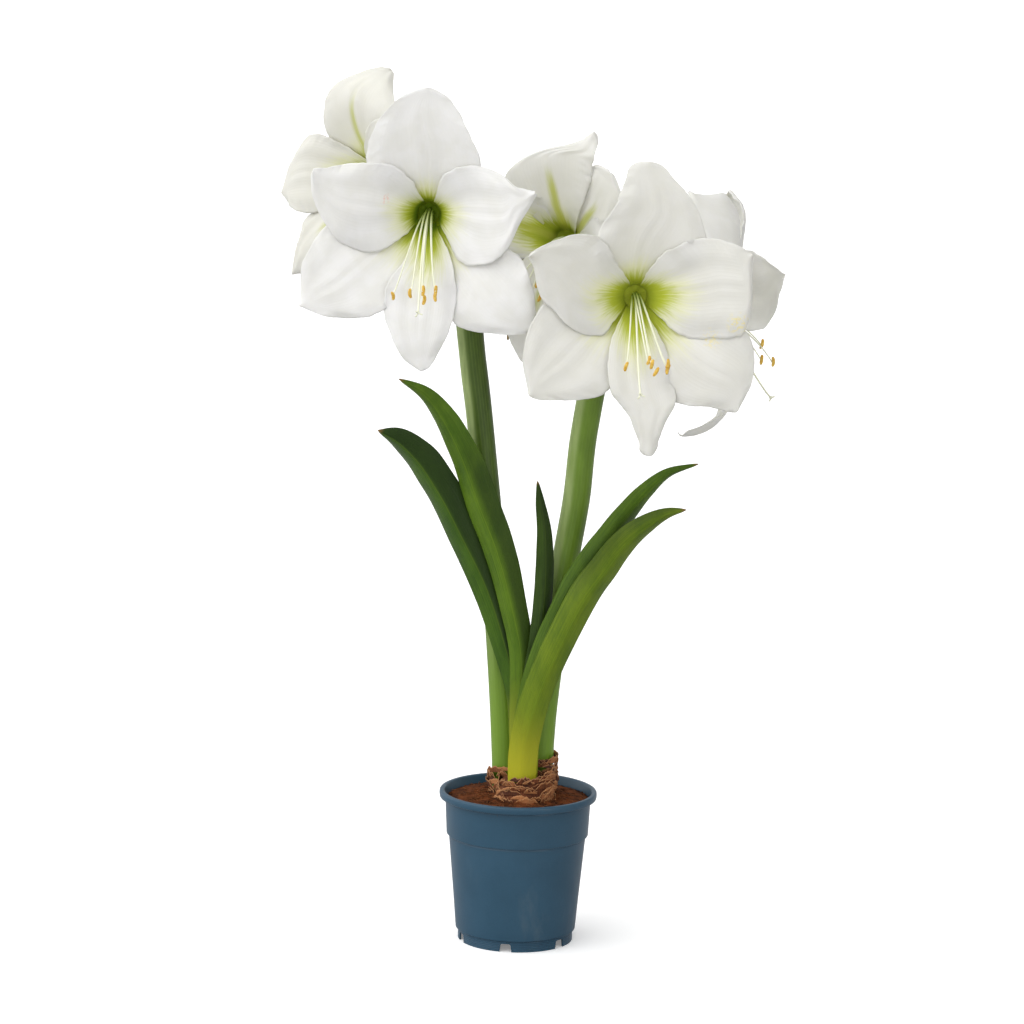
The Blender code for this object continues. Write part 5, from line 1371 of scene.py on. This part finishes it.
def petalWhite():
    material, tree, surface, place = newMaterial(
        "petalWhite", Subsurface_Weight=0.25, Subsurface_Scale=0.004, IOR=1.38, Specular_IOR_Level=0.35,
        Subsurface_Radius=(1.0, 0.95, 0.75))
    lines = veined(tree, surface, 26.0, 0.5, 4.0)
    streaks = calc(tree, "SUBTRACT", lines["Streaks"], 0.5)
    ragged = calc(tree, "MULTIPLY_ADD", streaks, 0.55, mark(tree, "green"))
    rib = calc(tree, "MULTIPLY_ADD", streaks, 0.4, mark(tree, "rib"))
    outer, bright, deeper, deepest = wallSizes["throatGreens"]
    inner = fade(tree, mark(tree, "depth"), 0.0, 1.0, 0.25, 0.9)
    inner = times(tree, fade(tree, ragged, 0.18, 0.5), inner)
    base = layered(
        tree, colour(*wallSizes["white"]),
        (fade(tree, noise(tree, place, 60.0, 3.0, 0.5), 0.35, 0.65), wallSizes["cloud"]),
        (times(tree, lines["Lines"], 0.035), wallSizes["veinGrey"]),
        # A bloom's tone greys its white: painted shade on the blooms that get less light, with a little
        # real cream.
        (mark(tree, "tone"), wallSizes["paintedShadeGrey"]),
        (fade(tree, axes(tree, surface)[1], 0.6, 0.25, 0.0, 0.5), wallSizes["cream"]),
        (fade(tree, ragged, -0.35, 0.1, 0.0, 0.45), outer),
        (fade(tree, ragged, -0.05, 0.3, 0.0, 0.95), bright),
        (inner, deeper),
        (fade(tree, mark(tree, "deep"), 0.25, 0.9, 0.0, 0.9), deepest),
        (fade(tree, rib, 0.15, 0.95, 0.0, 0.85), wallSizes["ribGreen"]),
    )
    specks = fade(tree, noise(tree, place, 420.0, 3.0, 0.6), 0.48, 0.62)
    for spot, size, tint, strength in wallSizes["spots"]:
        far = node(tree, "ShaderNodeVectorMath", {0: place, 1: spot}, operation="DISTANCE")
        near = times(tree, fade(tree, far.outputs["Value"], size, size * 0.3, 0.0, strength), specks)
        base = layered(tree, base, (near, tint))
    grain = plus(tree, lines["Streaks"], times(tree, noise(tree, place, 1500.0, 2.0, 0.5), 0.25))
    height = plus(tree, times(tree, lines["Lines"], 0.35), grain)
    dress(tree, base, fade(tree, lines["Streaks"], 0.3, 0.7, 0.42, 0.58), height, 0.24, 0.0004)
    return material


def makeBloom(key, material):
    bloom = bloomFrame(key)
    made = [makeTepal(key, number, bloom) for number in range(6)]
    made += [makeTube(bloom), makeThroat(key, bloom)]
    flower = makePiece("flower_" + key, joined([part for part, _ in made]), material)
    marks = np.concatenate([mark for _, mark in made])
    for column, name in enumerate(("green", "rib", "deep")):
        addAttribute(flower, name, marks[:, column])
    for name in ("tone", "depth"):
        addAttribute(flower, name, np.full(len(marks), bloomSizes[key][name]))
    settle(flower, "petal_white", "perianth_" + key)


petal = petalWhite()
for key in bloomSizes:
    makeBloom(key, petal)
print("blooms made")


# Stamens: six filaments with curved anthers, and a style with a three-part stigma.
stamenSizes = {
    "filament": 0.00068, "antherLength": 0.0078, "antherRadius": 0.00112, "low": 0.0019,
    "sink": 0.007, "footCircle": 0.0022, "feet": (-100, -40, 10, 170, 60, 110), "bow": 0.001,
    "jitter": 0.12, "stigma": ((-0.001, 0.0), (0.001, 0.0005), (0.002, 0.0016), (0.0018, 0.0032)),
    "thread": ((226, 228, 196), (240, 240, 222)), "threadFoot": (166, 184, 80),
    "pollen": ((214, 160, 50), (240, 206, 104)),
}


def filamentWhite():
    material, tree, surface, _ = newMaterial("filamentWhite", Roughness=0.45)
    streak = noise(tree, stretched(tree, surface, 20.0, 200.0, 1.0), 1.0, 3.0, 0.6)
    dark, light = stamenSizes["thread"]
    foot = fade(tree, axes(tree, surface)[1], 0.05, 0.01)
    base = layered(tree, colour(*dark), (streak, light), (foot, stamenSizes["threadFoot"]))
    dress(tree, base, None, streak, 0.2, 0.0001)
    return material


def pollenYellow():
    material, tree, _, place = newMaterial("pollenYellow", Roughness=0.85)
    tone = mottled(tree, place, 500.0, 3500.0, *stamenSizes["pollen"])
    dress(tree, tone["Colour"], None, tone["Height"], 0.8, 0.0003)
    return material


def makeStamens(key, sizes, thread, pollen):
    flower, bloom, filament = bloomSizes[key], bloomFrame(key), sizes["filament"]
    rise = sizes["low"] + flower["plug"] - sizes["sink"]
    parts, anthers = [], []
    for count, (end, foot) in enumerate(zip(flower["anthers"], sizes["feet"])):
        draw = np.random.default_rng(400 + 10 * "abcde".index(key) + count)
        foot, out = math.radians(foot), sizes["footCircle"]
        start = np.array((out * math.sin(foot), out * math.cos(foot), rise))
        end = np.array(end)
        lie = unit(np.array((flower["lean"], 0.95, 0.25)) + draw.normal(0, sizes["jitter"], 3))
        path = bezier((
            start, (0.15 * end[0] + start[0], 0.003 + start[1], 0.63 * end[2]),
            (0.7 * end[0], 0.8 * end[1], 0.94 * end[2]), end - lie * sizes["antherLength"] * 0.1,
        ), 34)
        parts.append(rod(inPlace(path, bloom), filament * np.linspace(1.15, 0.62, 34), 10))
        t = np.linspace(0, 1, 18)
        sag = unit(np.cross(lie, draw.normal(size=3)))
        line = end + np.outer((t - 0.5) * sizes["antherLength"], lie)
        line = line + np.outer(sizes["bow"] * 4 * t * (1 - t), sag)
        radii = np.sqrt(np.clip(1 - (2 * t - 1) ** 2, 0.004, 1)) ** 0.55 * sizes["antherRadius"]
        anthers.append(rod(inPlace(line, bloom), radii, 16, lobes=2, lobeDepth=0.16))
    x, y, z = flower["style"]
    path = bezier(((0, 0, rise), (0, 0.003, 0.57 * z), (0.5 * x, 0.8 * y, 0.84 * z), (x, y, z)), 40)
    parts.append(rod(inPlace(path, bloom), filament * np.linspace(1.3, 1.0, 40), 12))
    way = unit(path[-1] - path[-2])
    side = unit(np.cross(way, (1.0, 0, 0)))
    for turn in turns(3) + 0.4:
        out = math.cos(turn) * side + math.sin(turn) * np.cross(way, side)
        lobe = bezier([path[-1] + ahead * way + off * out for ahead, off in sizes["stigma"]], 10)
        points, faces, uv = rod(inPlace(lobe, bloom), filament * np.linspace(1.0, 0.75, 10), 8)
        parts.append((points, faces, uv + (0, 0.1)))
    threads = makePiece("stamens_%s_threads" % key, joined(parts), thread)
    settle(threads, "stamen_cream", "stamens_" + key)
    dusty = makePiece("stamens_%s_anthers" % key, joined(anthers), pollen)
    settle(dusty, "stamen_cream")


thread, pollen = filamentWhite(), pollenYellow()
for key in bloomSizes:
    makeStamens(key, stamenSizes, thread, pollen)
print("stamens made")


# Studio: a pale floor, a soft surround that is brighter on the left, one soft sun and the camera.
studio = {
    "floorHalf": 60.0, "floorSeen": 0.97, "floorLit": 0.5, "floorGlow": 0.22,
    "lens": 135.0, "sensor": 36.0, "place": (-0.00934, -2.8522, 0.80235), "pitch": 9.4, "roll": 1.25,
    "brightLight": 1.82, "dimLight": 0.62, "brightFrom": -0.05, "brightWay": (-0.82, -0.42, 0.38),
    "strip": 3.5, "stripWay": (0.62, -0.78, 0.0), "stripEdges": (0.978, 0.996),
    "stripTop": (0.45, 0.15), "sun": 0.4, "sunAngle": 40.0, "sunWay": (0.9, 0.55, -0.8),
}


def makeFloor(sizes):
    half, seen, lit = sizes["floorHalf"], sizes["floorSeen"], sizes["floorLit"]
    corners = [(-half, -half, 0), (half, -half, 0), (half, half, 0), (-half, half, 0)]
    floor = meshObject("studio_floor", corners, [(0, 1, 2, 3)])
    pale, tree, _, _ = newMaterial("paleFloor", Roughness=0.9, Emission_Color=(1, 1, 1, 1))
    # The floor looks white but throws back less light, as a studio table does.
    camera = node(tree, "ShaderNodeLightPath").outputs["Is Camera Ray"]
    dress(tree, blendColour(tree, camera, (lit, lit, lit, 1), (seen, seen, seen, 1)))
    glow = times(tree, camera, sizes["floorGlow"])
    tree.links.new(glow, tree.nodes["Principled BSDF"].inputs["Emission Strength"])
    floor.data.materials.append(pale)


def makeSurround(sizes):
    world = bpy.data.worlds.new("softSurround")
    world.use_nodes = True
    tree = world.node_tree
    tree.nodes.clear()
    way = node(tree, "ShaderNodeTexCoord").outputs["Generated"]

    def toward(vector, aim):
        ways = {0: vector, 1: tuple(unit(aim))}
        return node(tree, "ShaderNodeVectorMath", ways, operation="DOT_PRODUCT").outputs["Value"]

    strength = fade(tree, toward(way, sizes["brightWay"]), sizes["brightFrom"], 0.96,
                    sizes["dimLight"], sizes["brightLight"])
    # A narrow upright strip gives the pot its satin highlight.
    level = node(tree, "ShaderNodeVectorMath", {0: way, 1: (1, 1, 0)}, operation="MULTIPLY").outputs[0]
    level = node(tree, "ShaderNodeVectorMath", {0: level}, operation="NORMALIZE").outputs[0]
    beam = times(tree, fade(tree, toward(level, sizes["stripWay"]), *sizes["stripEdges"]),
                 fade(tree, axes(tree, way)[2], *sizes["stripTop"]))
    strength = plus(tree, strength, times(tree, beam, sizes["strip"]))
    seen = node(tree, "ShaderNodeLightPath").outputs["Is Camera Ray"]
    light = node(tree, "ShaderNodeBackground", {
        "Color": (1, 1, 1, 1), "Strength": calc(tree, "MAXIMUM", strength, seen),
    })
    node(tree, "ShaderNodeOutputWorld", {"Surface": light.outputs[0]})
    scene.world = world
    lamp = bpy.data.lights.new("softSun", "SUN")
    lamp.energy, lamp.angle = sizes["sun"], math.radians(sizes["sunAngle"])
    linked("softSun", lamp).rotation_euler = Vector(sizes["sunWay"]).to_track_quat("-Z", "Y").to_euler()


def makeCamera(sizes):
    pitch, roll = math.radians(sizes["pitch"]), math.radians(sizes["roll"])
    flat = Vector((1, 0, 0))
    rise = Vector((0, math.sin(pitch), math.cos(pitch)))
    right = flat * math.cos(roll) + rise * math.sin(roll)
    up = rise * math.cos(roll) - flat * math.sin(roll)
    back = Vector((0, -math.cos(pitch), math.sin(pitch)))
    lens = bpy.data.cameras.new("view")
    lens.lens, lens.sensor_width, lens.sensor_fit = sizes["lens"], sizes["sensor"], "HORIZONTAL"
    lens.clip_end = 200.0
    scene.camera = linked("view", lens)
    rows = [(right[i], up[i], back[i], sizes["place"][i]) for i in range(3)]
    scene.camera.matrix_world = Matrix(rows + [(0, 0, 0, 1)])
    scene.view_settings.view_transform = "Standard"


makeFloor(studio)
makeSurround(studio)
makeCamera(studio)
print("studio made")
